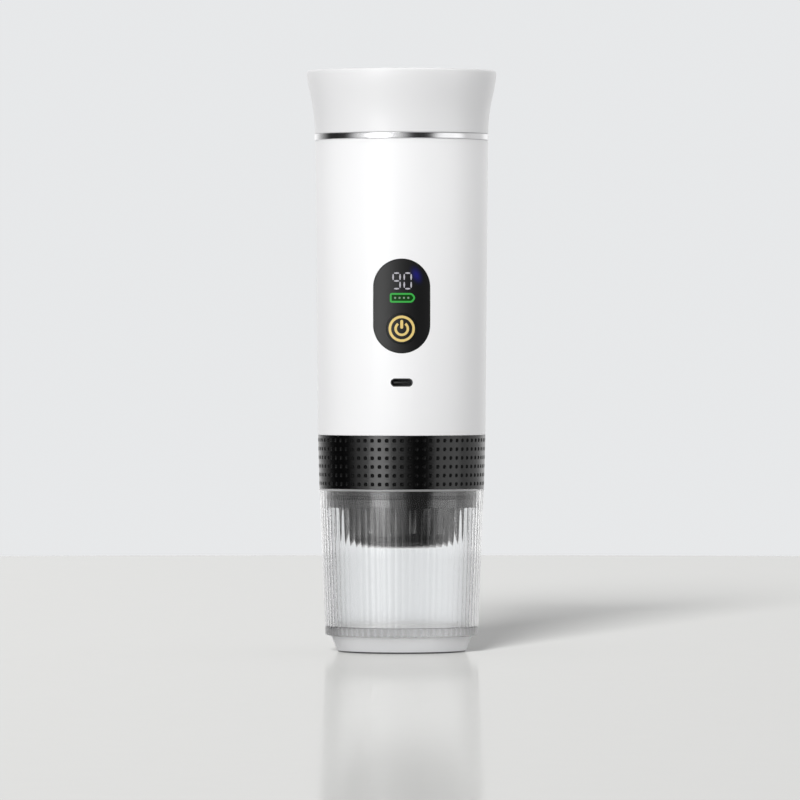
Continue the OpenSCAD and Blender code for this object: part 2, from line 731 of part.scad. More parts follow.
// Outlet valve: disc on its seat with a short guide stem
valve_stem_r = 0.9;
module outlet_valve() color("indianred") at_pump() {
    rod(valve_r, z_valve, z_valve_seat);
    rod(valve_stem_r, z_valve - valve_stem_h, z_valve + fit);
}

// Spring under the valve
valve_wire = 0.25;
valve_spring_r = 1.9;
valve_turns = 3;
z_valve = z_valve_seat - valve_t;
module valve_spring() color("silver") at_pump() spring(valve_spring_r, z_chamber + slide, z_valve - slide,
                                                      valve_turns, valve_wire);
echo(valve_spring_gap = spring_gap(valve_spring_r, z_chamber, z_valve, valve_turns, valve_wire));

// Hoses on the pump's axis, pushed over the nipples
module inlet_hose() color("whitesmoke") at_pump()
    tube(nipple_r + slide, nipple_r + hose_wall, z_barrel + fit, z_shelf - shelf_t - fit);
module outlet_hose() color("whitesmoke") at_pump()
    tube(nipple_r + slide, nipple_r + hose_wall, z_ceiling_top + fit, z_pump - fit);

// Water tank: drawn cup with a flange on the body tube and an outlet nipple in its floor
flange_inset = 1;
tank_flange_r = shell_r(z_body) - flange_inset;
nipple_space = 1.7;
z_tank_nipple = z_barrel + pump_nipple_h + nipple_space;
module water_tank() color("silver") difference() {
    union() {
        turned([[0, z_tank], [tank_r + tank_wall, z_tank], [tank_r + tank_wall, z_tank_top - tank_flange_t],
                [tank_flange_r, z_tank_top - tank_flange_t], [tank_flange_r, z_tank_top],
                [tank_r, z_tank_top], [tank_r, z_tank_in], [0, z_tank_in]]);
        at_pump() rod(nipple_r, z_tank_nipple, z_tank + tank_wall / 2);
    }
    at_pump() rod(nipple_bore, z_tank_nipple - over, z_tank_in + over);
}

// Gasket under the tank's flange
module tank_gasket() color("black") tube(shell_in(z_body), tank_flange_r, z_body, z_tank_top - tank_flange_t);

// Film heater round the tank
heater_up = 2;
module heater_band() color("orange") tube(heater_in, heater_in + heater_t, z_tank + heater_up,
                                          z_tank + heater_up + heater_h);

// Insulating sleeve with a floor that the tank stands on
sleeve_top_gap = 6;
sensor_r = 2.2;
sensor_h = 4;
module tank_insulator() color("lightyellow") difference() {
    turned([[0, z_shelf], [sleeve_r, z_shelf], [sleeve_r, z_body - sleeve_top_gap],
            [sleeve_in, z_body - sleeve_top_gap], [sleeve_in, z_tank], [0, z_tank]]);
    at_pump() rod(nipple_r + run, z_shelf - over, z_tank + over);
    rod(sensor_r + run, z_shelf - over, z_tank + over);
}

// Sensor bead under the tank
module temp_sensor() color("black") rod(sensor_r, z_tank - sensor_h, z_tank);

// Polished ring that clamps the tank's flange
lip_inset = 3.1;
ring_in = tank_r + lip_inset;
ring_wall_in = tank_flange_r + 2 * fit;
ring_chamfer = 0.3;
module trim_ring() color("silver") turned([
    [ring_wall_in, z_body], [ring_r - ring_chamfer, z_body], [ring_r, z_body + ring_chamfer],
    [ring_r, z_ring - ring_chamfer], [ring_r - ring_chamfer, z_ring], [ring_in, z_ring],
    [ring_in, z_tank_top], [ring_wall_in, z_tank_top]]);

// Flat seal between the tank's flange and the lid
seal_inset = 0.8;
module lid_seal() color("black") tube(tank_r + seal_inset, ring_in - run, z_tank_top, z_ring);

// Inner cap of the lid, with a hollow boss in the tank's mouth
plug_t = 2;
plug_boss_h = 5;
plug_boss_wall = 2;
plug_gap = 1.5;
vent_r = 1.6;
plug_r = tank_r - plug_gap;
module lid_plug() color("whitesmoke") difference() {
    turned([[0, z_ring], [plug_r - plug_boss_wall, z_ring], [plug_r - plug_boss_wall, z_ring - plug_boss_h],
            [plug_r, z_ring - plug_boss_h], [plug_r, z_ring], [lid_low_r - lid_wall - fit, z_ring],
            [lid_low_r - lid_wall - fit, z_ring + plug_t], [0, z_ring + plug_t]]);
    rod(vent_r + fit, z_ring - over, z_ring + plug_t + over);
}

// Lid: flared skirt that rises from upright to its edge in an S curve, and a dished top with a vent
flare_n = 12;
flare_lag = 1.3;
edge_from = 15;
edge_n = 5;
top_t = 2.0;
top_rim_w = 3;
vent_hole_r = 0.8;
function smooth(t) = t * t * (3 - 2 * t);
function lid_r(t) = lid_low_r + (lid_top_r - lid_low_r) * smooth(pow(t, flare_lag));
flare_top = z_top - lid_edge_r;
function flare_z(i) = z_ring + (flare_top - z_ring) * i / flare_n;
module lid_shell() color("white") difference() {
    turned(concat(
        [[lid_low_r - lid_wall, z_ring]],
        [for (i = [0:flare_n]) [lid_r(i / flare_n), flare_z(i)]],
        arc(lid_top_r - lid_edge_r, flare_top, lid_edge_r, edge_from, 90, edge_n),
        [[lid_top_r - top_rim_w, z_top], [lid_top_r - top_rim_w - dish_depth, z_top - dish_depth],
         [0, z_top - dish_depth], [0, z_top - dish_depth - top_t],
         [lid_r(1) - lid_wall - top_t, z_top - dish_depth - top_t]],
        [for (i = [flare_n - 3:-1:1]) [lid_r(i / flare_n) - lid_wall, flare_z(i)]]));
    rod(vent_hole_r, z_top - dish_depth - top_t - over, z_top);
}

// Vent valve in the inner cap: stem with a soft umbrella below it
umbrella_r = 4;
umbrella_t = 0.8;
vent_bead = 0.8;
module vent_valve() color("tomato") {
    rod(umbrella_r, z_ring - umbrella_t, z_ring);
    rod(vent_r, z_ring - fit, z_ring + plug_t);
    rod(vent_r + vent_bead, z_ring + plug_t, z_ring + plug_t + umbrella_t);
}

cup();
group_housing();
cup_seal();
grip_band();
shower_screen();
shower_screw();
group_gasket();
filter_basket();
basket_screen();
filter_holder();
outer_shell();
display_panel();
power_button();
button_ring();
usb_socket();
main_board();
board_screws();
display_module();
tact_switch();
chassis();
chassis_screws();
battery_cells();
cell_cradle();
cell_tabs();
pump_mount();
pump_body();
pump_coil();
pump_yoke();
plunger();
plunger_spring();
outlet_valve();
valve_spring();
inlet_hose();
outlet_hose();
water_tank();
tank_gasket();
heater_band();
tank_insulator();
temp_sensor();
trim_ring();
lid_seal();
lid_plug();
lid_shell();
vent_valve();
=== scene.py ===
"""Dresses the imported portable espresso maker: gloss body, lit panel, dimpled band and fluted cup."""
import math

import bmesh
import bpy
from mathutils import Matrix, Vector


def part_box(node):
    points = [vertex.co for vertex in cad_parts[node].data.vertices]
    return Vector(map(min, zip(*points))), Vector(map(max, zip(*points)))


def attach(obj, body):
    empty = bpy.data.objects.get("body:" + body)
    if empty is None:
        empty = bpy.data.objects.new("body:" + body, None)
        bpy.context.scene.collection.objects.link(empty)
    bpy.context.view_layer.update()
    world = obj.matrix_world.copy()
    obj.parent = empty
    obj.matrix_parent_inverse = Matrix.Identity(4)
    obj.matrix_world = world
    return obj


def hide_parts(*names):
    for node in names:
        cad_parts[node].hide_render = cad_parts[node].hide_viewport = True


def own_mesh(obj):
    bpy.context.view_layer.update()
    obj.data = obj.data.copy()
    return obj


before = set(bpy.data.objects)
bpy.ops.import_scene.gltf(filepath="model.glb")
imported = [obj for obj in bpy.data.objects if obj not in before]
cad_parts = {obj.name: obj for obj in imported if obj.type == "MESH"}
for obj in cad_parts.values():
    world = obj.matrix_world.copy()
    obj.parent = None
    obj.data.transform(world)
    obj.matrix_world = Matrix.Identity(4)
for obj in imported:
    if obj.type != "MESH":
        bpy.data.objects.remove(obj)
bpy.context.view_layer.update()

# Sizes are written in millimetres and turned to metres where a mesh is made
MM = 0.001
FULL = 2 * math.pi

# Points round a turned piece, and where flat front pieces are drawn before they are laid on the body
ROUND = 256
FRONT = -50


def low(node):
    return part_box(node)[0] / MM


def high(node):
    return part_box(node)[1] / MM


# Levels and radii of the stack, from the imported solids
z_rim = high("cup").z
z_band = high("grip_band").z
z_body = high("outer_shell").z
z_ring = high("trim_ring").z
z_top = high("lid_shell").z
z_skirt = low("group_housing").z
z_tank = low("tank_insulator").z + 1.5
rim_r = high("cup").x
body_low_r = high("grip_band").x
body_top_r = high("outer_shell").x
ring_r = high("trim_ring").x
lid_r = high("lid_shell").x
pump_at = (low("plunger") + high("plunger")) / 2

# Panel, key and charging slot
panel_w = high("display_panel").x - low("display_panel").x
panel_low = low("display_panel").z
panel_high = high("display_panel").z
panel_z = (panel_low + panel_high) / 2
panel_t = 1.5
key_r = high("power_button").x - 1.0
key_z = (high("button_ring").z + low("button_ring").z) / 2
key_gap = 0.2
usb_z = (high("usb_socket").z + low("usb_socket").z) / 2


def on_line(z, z0, r0, z1, r1):
    return r0 + (r1 - r0) * (z - z0) / (z1 - z0)


def shell_r(z):
    return on_line(z, z_band, body_low_r, z_body, body_top_r)


def band_r(z):
    return on_line(z, z_rim, rim_r, z_band, body_low_r)


def smooth(t):
    return t * t * (3 - 2 * t)


def arc(cr, cz, r, start, end, steps):
    """Points of an arc in a profile, angles in degrees from the radius direction."""
    turn = [math.radians(start + (end - start) * i / steps) for i in range(steps + 1)]
    return [(cr + r * math.cos(a), cz + r * math.sin(a)) for a in turn]


# Modelling helpers

def mode(name):
    bpy.ops.object.mode_set(mode=name)


def pick_all():
    bpy.ops.mesh.select_all(action="SELECT")


def clear():
    """Leaves edit mode with nothing selected."""
    if bpy.context.object and bpy.context.object.mode != "OBJECT":
        mode("OBJECT")
    bpy.ops.object.select_all(action="DESELECT")


def choose(*pieces):
    """Selects these pieces alone, with the first one active."""
    clear()
    for piece in pieces:
        piece.select_set(True)
    bpy.context.view_layer.objects.active = pieces[0]


def started(name):
    """Names the primitive just added, puts its place into its mesh and opens it for editing."""
    piece = bpy.context.object
    piece.name = piece.data.name = name
    bpy.ops.object.transform_apply(location=True, rotation=True, scale=True)
    mode("EDIT")
    bpy.ops.mesh.select_mode(type="VERT")
    pick_all()
    return piece


def ring_start(name, r, z, points):
    """A bare ring of points about the upright axis."""
    clear()
    bpy.ops.mesh.primitive_circle_add(vertices=points, radius=r * MM, location=(0, 0, z * MM))
    return started(name)


def front_disc(name, r, x, z, points, fill="NGON"):
    """A filled disc or a bare ring in front of the body, facing the front."""
    clear()
    bpy.ops.mesh.primitive_circle_add(vertices=points, radius=r * MM, fill_type=fill,
                                      location=(x * MM, FRONT * MM, z * MM), rotation=(math.pi / 2, 0, 0))
    return started(name)


def front_plate(name, w, h, at):
    """A flat plate about a middle point, facing the front."""
    clear()
    bpy.ops.mesh.primitive_plane_add(size=MM, location=[c * MM for c in at], rotation=(math.pi / 2, 0, 0))
    piece = started(name)
    scale(w, 1, h, at)
    return piece


def block(name, at, size):
    """A box about a middle point, of three sizes."""
    clear()
    bpy.ops.mesh.primitive_cube_add(size=1, location=[c * MM for c in at], scale=[s * MM for s in size])
    return started(name)


def middle(part):
    """Place of a point, an edge or a face, in millimetres."""
    if isinstance(part, bmesh.types.BMVert):
        return part.co / MM
    if isinstance(part, bmesh.types.BMEdge):
        return (part.verts[0].co + part.verts[1].co) / (2 * MM)
    return part.calc_center_median() / MM


def pick(piece, test, kind="VERT"):
    """Selects the points, edges or faces whose middle, in millimetres, passes a test."""
    bpy.ops.mesh.select_mode(type=kind)
    bpy.ops.mesh.select_all(action="DESELECT")
    mesh = bmesh.from_edit_mesh(piece.data)
    parts = {"VERT": mesh.verts, "EDGE": mesh.edges, "FACE": mesh.faces}[kind]
    for part in parts:
        if test(middle(part)):
            part.select_set(True)
    mesh.select_flush_mode()
    bmesh.update_edit_mesh(piece.data)


def move(x, y, z):
    bpy.ops.transform.translate(value=(x * MM, y * MM, z * MM))


def scale(kx, ky, kz, at):
    bpy.ops.transform.resize(value=(kx, ky, kz), center_override=tuple(c * MM for c in at))


def pull(x=0, y=0, z=0):
    bpy.ops.mesh.extrude_region_move(TRANSFORM_OT_translate={"value": (x * MM, y * MM, z * MM)})


def copy_along(places):
    """Copies the selected part, drawn at the first of these places across and up, to the others."""
    for (x, z), (x2, z2) in zip(places, places[1:]):
        bpy.ops.mesh.duplicate_move(TRANSFORM_OT_translate={"value": ((x2 - x) * MM, 0, (z2 - z) * MM)})


def coat(piece, *materials):
    """Gives a piece in edit mode its materials."""
    mode("OBJECT")
    for material in materials:
        piece.data.materials.append(material)
    mode("EDIT")


def paint(piece, slot):
    """Puts one of the piece's materials on the selected faces."""
    piece.active_material_index = slot
    bpy.ops.object.material_slot_assign()


def close_up(merge=0.002):
    """Merges doubles, turns the faces outwards and leaves edit mode."""
    pick_all()
    bpy.ops.mesh.remove_doubles(threshold=merge * MM)
    bpy.ops.mesh.normals_make_consistent(inside=False)
    mode("OBJECT")


def placed(name, data=None):
    """Puts a new light, camera or empty into the scene."""
    made = bpy.data.objects.new(name, data)
    bpy.context.scene.collection.objects.link(made)
    return made


def cap_open_ring():
    """Closes the one open ring of a turned piece with a fan."""
    bpy.ops.mesh.select_mode(type="EDGE")
    bpy.ops.mesh.select_all(action="DESELECT")
    bpy.ops.mesh.select_non_manifold(extend=False, use_wire=False, use_multi_face=False,
                                     use_non_contiguous=False, use_verts=False)
    bpy.ops.mesh.edge_face_add()
    bpy.ops.mesh.select_mode(type="FACE")
    bpy.ops.mesh.poke()
    bpy.ops.mesh.select_mode(type="VERT")


def ring_on(at, to):
    """Pulls the selected ring from one point of a profile to the next."""
    (r, z), (r2, z2) = at, to
    pull(z=z2 - z)
    if r2 == 0:
        bpy.ops.mesh.merge(type="CENTER")
    elif r2 != r:
        scale(r2 / r, r2 / r, 1, (0, 0, z2))


def follow(track):
    """Pulls the selected ring along a whole profile."""
    for here, there in zip(track, track[1:]):
        ring_on(here, there)


def turned(name, profile, closed=True, points=ROUND, at=(0, 0)):
    """Turns a profile of radius and height about an upright axis."""
    capped = profile[0][0] == 0
    line = profile[1:] if capped else list(profile)
    if closed and not capped:
        line = line + [line[0]]
    piece = ring_start(name, *line[0], points)
    follow(line)
    if capped:
        cap_open_ring()
    if at != (0, 0):
        pick_all()
        move(at[0], at[1], 0)
    close_up()
    return piece


def modify(piece, kind, **settings):
    """Adds a modifier with these settings and applies it."""
    choose(piece)
    made = piece.modifiers.new(kind.lower(), kind)
    for key, value in settings.items():
        setattr(made, key, value)
    bpy.ops.object.modifier_apply(modifier=made.name)


def soften(piece, width, segments=3, angle=32):
    """Rounds the sharp edges of a piece."""
    modify(piece, "BEVEL", width=width * MM, segments=segments, limit_method="ANGLE",
           angle_limit=math.radians(angle), use_clamp_overlap=True)


def cut(piece, cutter):
    """Cuts one piece with another, which is then removed."""
    modify(piece, "BOOLEAN", operation="DIFFERENCE", object=cutter, solver="EXACT")
    bpy.data.objects.remove(cutter)


def join(*pieces):
    """Joins pieces into the first of them."""
    choose(*pieces)
    bpy.ops.object.join()
    return pieces[0]


def dress(piece, material, body, slot, *nodes, angle=30):
    """Shades a finished piece, gives it its material, and sets it on its body."""
    choose(piece)
    bpy.ops.object.shade_smooth_by_angle(angle=math.radians(angle))
    if not piece.data.materials:
        piece.data.materials.append(material)
    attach(piece, body)
    if nodes:
        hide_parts(*nodes)


# Shader node groups that several finishes share

def new_group(name, inputs, outputs):
    tree = bpy.data.node_groups.new(name, "ShaderNodeTree")
    for label, kind, value in inputs:
        socket = tree.interface.new_socket(label, in_out="INPUT", socket_type=kind)
        socket.default_value = value
    for label, kind in outputs:
        tree.interface.new_socket(label, in_out="OUTPUT", socket_type=kind)
    return tree, tree.nodes.new("NodeGroupInput"), tree.nodes.new("NodeGroupOutput")


def feed(tree, socket, value):
    """Sets a socket to a value, or links it to the output of another node."""
    if isinstance(value, bpy.types.NodeSocket):
        tree.links.new(value, socket)
    else:
        socket.default_value = value


def add_node(tree, kind, **values):
    """Adds a shader node and feeds its named inputs."""
    made = tree.nodes.new("ShaderNode" + kind)
    for label, value in values.items():
        feed(tree, made.inputs[label.replace("_", " ")], value)
    return made


def math_node(tree, operation, a, b):
    made = add_node(tree, "Math")
    made.operation = operation
    for socket, value in zip(made.inputs, (a, b)):
        feed(tree, socket, value)
    return made.outputs[0]


def noise_node(tree, vector, size, detail):
    return add_node(tree, "TexNoise", Vector=vector, Scale=size, Detail=detail).outputs["Fac"]


def object_place(tree):
    return add_node(tree, "TexCoord").outputs["Object"]


SURFACE_INPUTS = [("Colour", "NodeSocketColor", (0.5, 0.5, 0.5, 1)), ("Tint", "NodeSocketFloat", 0.05),
                  ("Roughness", "NodeSocketFloat", 0.4), ("Spread", "NodeSocketFloat", 0.05),
                  ("Grain", "NodeSocketFloat", 0.1), ("Grain Scale", "NodeSocketFloat", 1500)]
SURFACE_OUTPUTS = [("Colour", "NodeSocketColor"), ("Roughness", "NodeSocketFloat"),
                   ("Normal", "NodeSocketVector")]
GRAIN_DEPTH = 0.05


def surface_group(name, pattern):
    """Colour, roughness and relief from a pattern of broad patches and fine grain."""
    tree, given, result = new_group(name, SURFACE_INPUTS, SURFACE_OUTPUTS)
    asked = given.outputs
    patches, grain = pattern(tree, asked["Grain Scale"])
    drift = math_node(tree, "MULTIPLY", math_node(tree, "SUBTRACT", patches, 0.5), asked["Tint"])
    shade = add_node(tree, "HueSaturation", Color=asked["Colour"], Value=math_node(tree, "ADD", drift, 1.0))
    mixed = math_node(tree, "SUBTRACT", math_node(tree, "ADD", patches, grain), 1.0)
    change = math_node(tree, "MULTIPLY", mixed, asked["Spread"])
    relief = add_node(tree, "Bump", Distance=GRAIN_DEPTH * MM, Strength=asked["Grain"], Height=grain)
    feed(tree, result.inputs["Colour"], shade.outputs["Color"])
    feed(tree, result.inputs["Roughness"], math_node(tree, "ADD", change, asked["Roughness"]))
    feed(tree, result.inputs["Normal"], relief.outputs["Normal"])
    return tree


def moulded_pattern(tree, grain_size):
    """Soft patches and fine grain, as on moulded plastic."""
    place = object_place(tree)
    return noise_node(tree, place, 60, 3), noise_node(tree, place, grain_size, 2)


def turned_pattern(tree, grain_size):
    """Fine lines that run round the upright axis, as on turned or brushed metal."""
    place = object_place(tree)
    x, y, z = add_node(tree, "SeparateXYZ", Vector=place).outputs
    reach = math_node(tree, "SQRT", math_node(tree, "ADD", math_node(tree, "MULTIPLY", x, x),
                                              math_node(tree, "MULTIPLY", y, y)), 0)
    swing = math_node(tree, "MULTIPLY", math_node(tree, "ARCTAN2", y, x), 0.0015)
    lines = add_node(tree, "CombineXYZ", X=reach, Y=z, Z=swing)
    return noise_node(tree, place, 70, 2), noise_node(tree, lines.outputs[0], grain_size, 3)


MOULDED = surface_group("moulded surface", moulded_pattern)
TURNED = surface_group("turned metal surface", turned_pattern)


def finish(name, colour, rough, tint=0.04, spread=0.06, grain=0.08, size=1800, group=MOULDED, **sockets):
    """Material whose colour, roughness and relief come from a surface group."""
    material = bpy.data.materials.new(name)
    material.use_nodes = True
    tree = material.node_tree
    shader = tree.nodes["Principled BSDF"]
    skin = add_node(tree, "Group")
    skin.node_tree = group
    for label, value in (("Colour", (*colour, 1)), ("Tint", tint), ("Roughness", rough), ("Spread", spread),
                         ("Grain", grain), ("Grain Scale", size)):
        skin.inputs[label].default_value = value
    for label, socket in (("Colour", "Base Color"), ("Roughness", "Roughness"), ("Normal", "Normal")):
        tree.links.new(skin.outputs[label], shader.inputs[socket])
    for label, value in sockets.items():
        shader.inputs[label.replace("_", " ")].default_value = value
    return material


def glowing(name, colour, strength, base):
    """Lit mark: its light varies a little from place to place."""
    material = finish(name, base, 0.35, Specular_IOR_Level=0.2)
    tree = material.node_tree
    shader = tree.nodes["Principled BSDF"]
    light = add_node(tree, "Group")
    light.node_tree = MOULDED
    light.inputs["Colour"].default_value = (*colour, 1)
    light.inputs["Tint"].default_value = 0.25
    tree.links.new(light.outputs["Colour"], shader.inputs["Emission Color"])
    shader.inputs["Emission Strength"].default_value = strength
    return material


WHITE = finish("white gloss plastic", (0.82, 0.82, 0.825), 0.4, tint=0.02, spread=0.04, grain=0.02,
               Coat_Weight=0.15, Coat_Roughness=0.3)
# The lid takes a darker copy of the white plastic: painted shade for its flare, which faces a little
# downwards.
SHADED_LID_WHITE = finish("white lid plastic with painted shade", (0.73, 0.73, 0.735), 0.4, tint=0.02, spread=0.04, grain=0.02,
                   Coat_Weight=0.2, Coat_Roughness=0.25)
INNER_WHITE = finish("white inner plastic", (0.74, 0.74, 0.73), 0.45, tint=0.04, grain=0.1)
CHROME = finish("polished chrome", (0.86, 0.86, 0.87), 0.2, tint=0.02, spread=0.03, grain=0.03,
                size=9000, group=TURNED, Metallic=1.0)
RUBBER = finish("black grip rubber", (0.001, 0.001, 0.0011), 0.22, tint=0.3, spread=0.1, grain=0.06,
                size=5000, Specular_IOR_Level=0.6)
DIMPLE_RUBBER = finish("matt rubber in the dimples", (0.001, 0.001, 0.0011), 0.5, tint=0.3, spread=0.1,
                       grain=0.06, Specular_IOR_Level=0.22)
SEAL_RUBBER = finish("black seal rubber", (0.02, 0.02, 0.021), 0.55, tint=0.3, spread=0.15, grain=0.3)
DARK = finish("dark brew group plastic", (0.004, 0.004, 0.0042), 0.14, tint=0.12, spread=0.1, grain=0.15,
              Specular_IOR_Level=0.8)
BLACK = finish("black frame plastic", (0.03, 0.03, 0.032), 0.5, tint=0.2, spread=0.15, grain=0.3)
IVORY = finish("ivory pump plastic", (0.8, 0.77, 0.68), 0.5, tint=0.06, spread=0.1, grain=0.2)
STEEL = finish("brushed steel", (0.6, 0.6, 0.61), 0.3, tint=0.08, spread=0.2, grain=0.2, size=7000,
               group=TURNED, Metallic=1.0)
PLATE_STEEL = finish("plain steel", (0.56, 0.56, 0.57), 0.33, tint=0.1, spread=0.15, grain=0.1, Metallic=1.0)
COPPER = finish("enamelled copper winding", (0.6, 0.27, 0.12), 0.38, tint=0.15, spread=0.15, grain=0.9,
                size=4200, group=TURNED, Metallic=1.0)
BOARD = finish("green circuit board", (0.02, 0.15, 0.06), 0.4, tint=0.3, spread=0.1, grain=0.2, size=900)
SLEEVE = finish("teal cell sleeve", (0.05, 0.35, 0.3), 0.38, tint=0.08, spread=0.1, grain=0.1)
FILM = finish("amber heater film", (0.6, 0.3, 0.05), 0.35, tint=0.2, spread=0.15, grain=0.3, size=700)
FELT = finish("pale insulating felt", (0.8, 0.78, 0.7), 0.9, tint=0.2, spread=0.1, grain=0.9, size=2600,
              Sheen_Weight=0.3)
SILICONE = finish("red silicone", (0.5, 0.08, 0.05), 0.5, tint=0.1, spread=0.1, grain=0.1)
HOSE = finish("milky silicone hose", (0.75, 0.75, 0.72), 0.42, tint=0.06, spread=0.1, grain=0.1)
GOLD = finish("satin gold", (0.69, 0.52, 0.18), 0.45, tint=0.05, spread=0.08, grain=0.05)
KEY_BLACK = finish("black gloss key", (0.004, 0.004, 0.0042), 0.38, tint=0.2, spread=0.04, grain=0.02)
DIGIT = glowing("white digit light", (0.32, 0.31, 0.34), 1.0, (0.15, 0.15, 0.16))
GREEN = glowing("green level light", (0.025, 0.27, 0.035), 1.0, (0.02, 0.12, 0.03))
DIM_GREEN = glowing("dim green level field", (0.0005, 0.04, 0.001), 1.0, (0.002, 0.006, 0.002))
DOT = glowing("pale level dots", (0.3, 0.42, 0.32), 0.4, (0.1, 0.14, 0.1))
PORT_BLACK = finish("black port plastic", (0.02, 0.02, 0.021), 0.5, tint=0.2, spread=0.1, grain=0.2)
PORT_STEEL = finish("dark port sleeve", (0.1, 0.1, 0.105), 0.4, tint=0.1, spread=0.1, grain=0.1, Metallic=0.6)
CONTACT = finish("gold contacts", (0.7, 0.5, 0.2), 0.3, tint=0.1, spread=0.1, Metallic=1.0)


def window_finish():
    """Black gloss window with a faint blue light behind its upper right."""
    material = finish("black gloss window", (0.004, 0.004, 0.0042), 0.38, tint=0.2, spread=0.04, grain=0.02)
    tree = material.node_tree
    shader = tree.nodes["Principled BSDF"]
    spot_x, spot_z, spot_tilt = 6.0, 155.4, math.radians(-24)
    place = add_node(tree, "Mapping", Vector=object_place(tree), Rotation=(0, spot_tilt, 0),
                     Location=(spot_x * MM, -shell_r(spot_z) * MM, spot_z * MM),
                     Scale=(3.0 * MM, 9 * MM, 5.2 * MM))
    place.vector_type = "TEXTURE"
    ball = add_node(tree, "TexGradient", Vector=place.outputs["Vector"])
    ball.gradient_type = "QUADRATIC_SPHERE"
    ramp = add_node(tree, "ValToRGB", Fac=ball.outputs["Fac"])
    ramp.color_ramp.elements[0].color = (0, 0, 0, 1)
    ramp.color_ramp.elements[1].color = (0.004, 0.003, 0.13, 1)
    ramp.color_ramp.elements[1].position = 0.7
    tree.links.new(ramp.outputs["Color"], shader.inputs["Emission Color"])
    shader.inputs["Emission Strength"].default_value = 1.0
    return material


WINDOW = window_finish()


def cup_finish():
    """Slightly hazy clear plastic. Its base colour is darker on the foot and round the edge of the solid
    floor, as painted shade, and darker where the wall is seen edge-on.
    """
    material = finish("clear hazy cup", (0.98, 0.985, 0.985), 0.12, tint=0.01, spread=0.04, grain=0.0,
                      size=1200, Transmission_Weight=0.99, IOR=1.49, Sheen_Weight=0.4, Sheen_Roughness=0.25)
    tree = material.node_tree
    shader = tree.nodes["Principled BSDF"]
    split = add_node(tree, "SeparateXYZ", Vector=object_place(tree))
    height = math_node(tree, "DIVIDE", split.outputs["Z"], z_rim * MM)
    limb = add_node(tree, "MapRange", Value=add_node(tree, "LayerWeight").outputs["Facing"],
                    From_Min=0.3, From_Max=0.75, To_Min=1.0, To_Max=0.55)
    # Base colour by height: the 0.61 band between 7 and 10.2 mm, round the solid floor's edge, is painted
    # shade.
    levels = {"Base Color": ((6.5, 0.93), (7.0, 0.61), (10.2, 0.61), (10.9, 0.98), (20, 1.0)),
              "Roughness": ((6.5, 0.4), (7.0, 0.22), (11.0, 0.22), (11.5, 0.2), (39.0, 0.2), (43.0, 0.07),
                            (60.5, 0.04))}
    for socket, steps in levels.items():
        ramp = add_node(tree, "ValToRGB", Fac=height)
        points = ramp.color_ramp.elements
        for end, value in ((points[0], steps[0][1]), (points[1], steps[-1][1])):
            end.color = (value, value, value, 1)
        for z, value in steps:
            points.new(z / z_rim).color = (value, value, value, 1)
        level = ramp.outputs["Color"]
        if socket == "Base Color":
            level = math_node(tree, "MULTIPLY", level, limb.outputs["Result"])
        tree.links.new(level, shader.inputs[socket])
    return material


CLEAR = cup_finish()
FROST = finish("frosted foot", (0.89, 0.89, 0.895), 0.42, tint=0.02, spread=0.05, grain=0.05,
               Transmission_Weight=0.62, IOR=1.49)
# Dark band round the foot's lowest edge: a painted contact shadow where the cup stands on the floor.
FOOT_CONTACT_SHADOW = finish("painted contact shadow on the foot edge", (0.04, 0.04, 0.04), 0.4, tint=0.1, spread=0.05, grain=0.05,
                   Transmission_Weight=0.3, IOR=1.49)
# Whiter, less clear band round the top of the cup: a painted highlight along the rim's edge.
RIM_HIGHLIGHT = finish("cup rim with painted highlight", (0.92, 0.92, 0.92), 0.3, tint=0.04, spread=0.05, grain=0.05,
                  Transmission_Weight=0.75, IOR=1.49)


# White lid: an S-shaped flare, a rounded edge and a dished top with a vent
lid_low_r = ring_r - 0.2
lid_low = z_ring + 0.03
lid_wall = 2.2
edge_r = 1.0
rim_flat = 3
dish_z = z_top - 2.0
under_z = dish_z - 2
vent_r = 0.8
flare_steps = 28
flare_top = z_top - edge_r


def flare(i):
    t = i / flare_steps
    grown = (lid_r - lid_low_r) * smooth(t ** 1.3)
    return lid_low_r + grown, lid_low + (flare_top - lid_low) * t


lid_profile = [flare(i) for i in range(flare_steps + 1)]
lid_profile += arc(lid_r - edge_r, flare_top, edge_r, 12, 90, 7)
lid_profile += [(lid_r - rim_flat, z_top), (lid_r - rim_flat - 2, dish_z), (vent_r, dish_z),
                (vent_r, under_z), (lid_r - lid_wall - 2, under_z)]
lid_profile += [(r - lid_wall, z) for r, z in (flare(i) for i in range(flare_steps - 7, -1, -1))]
lid_shell = turned("lid_shell_skin", lid_profile)
soften(lid_shell, 0.3)
# The lid's white is darkened as painted shade.
dress(lid_shell, SHADED_LID_WHITE, "lid", "white_plastic", "lid_shell")

# Inner cap of the lid with its boss, and the vent valve under it
seal_out = high("lid_seal").x
seal_in = seal_out - 2.0
boss_r = seal_in - 2.3
boss_in = boss_r - 2
plug_r = lid_low_r - lid_wall - 0.1
plug_low = low("lid_plug").z
plug_top = z_ring + 2
stem_hole = 1.7
plug = turned("lid_plug_skin", [
    (stem_hole, z_ring), (boss_in, z_ring), (boss_in, plug_low), (boss_r, plug_low), (boss_r, z_ring),
    (plug_r, z_ring), (plug_r, plug_top), (stem_hole, plug_top)])
soften(plug, 0.35)
dress(plug, INNER_WHITE, "lid", "white_plastic", "lid_plug")
umbrella_r = high("vent_valve").x
vent = turned("vent_valve_skin", [
    (0, z_ring - 0.85), (1.2, z_ring - 0.8), (2.6, z_ring - 0.65), (umbrella_r, z_ring - 0.15),
    (umbrella_r, z_ring), (1.6, z_ring), (1.6, plug_top), (2.4, plug_top), (2.4, plug_top + 0.5),
    (2.0, plug_top + 0.8), (0, plug_top + 0.8)], points=64)
soften(vent, 0.12, 2)
dress(vent, SILICONE, "lid", "red_silicone", "vent_valve")

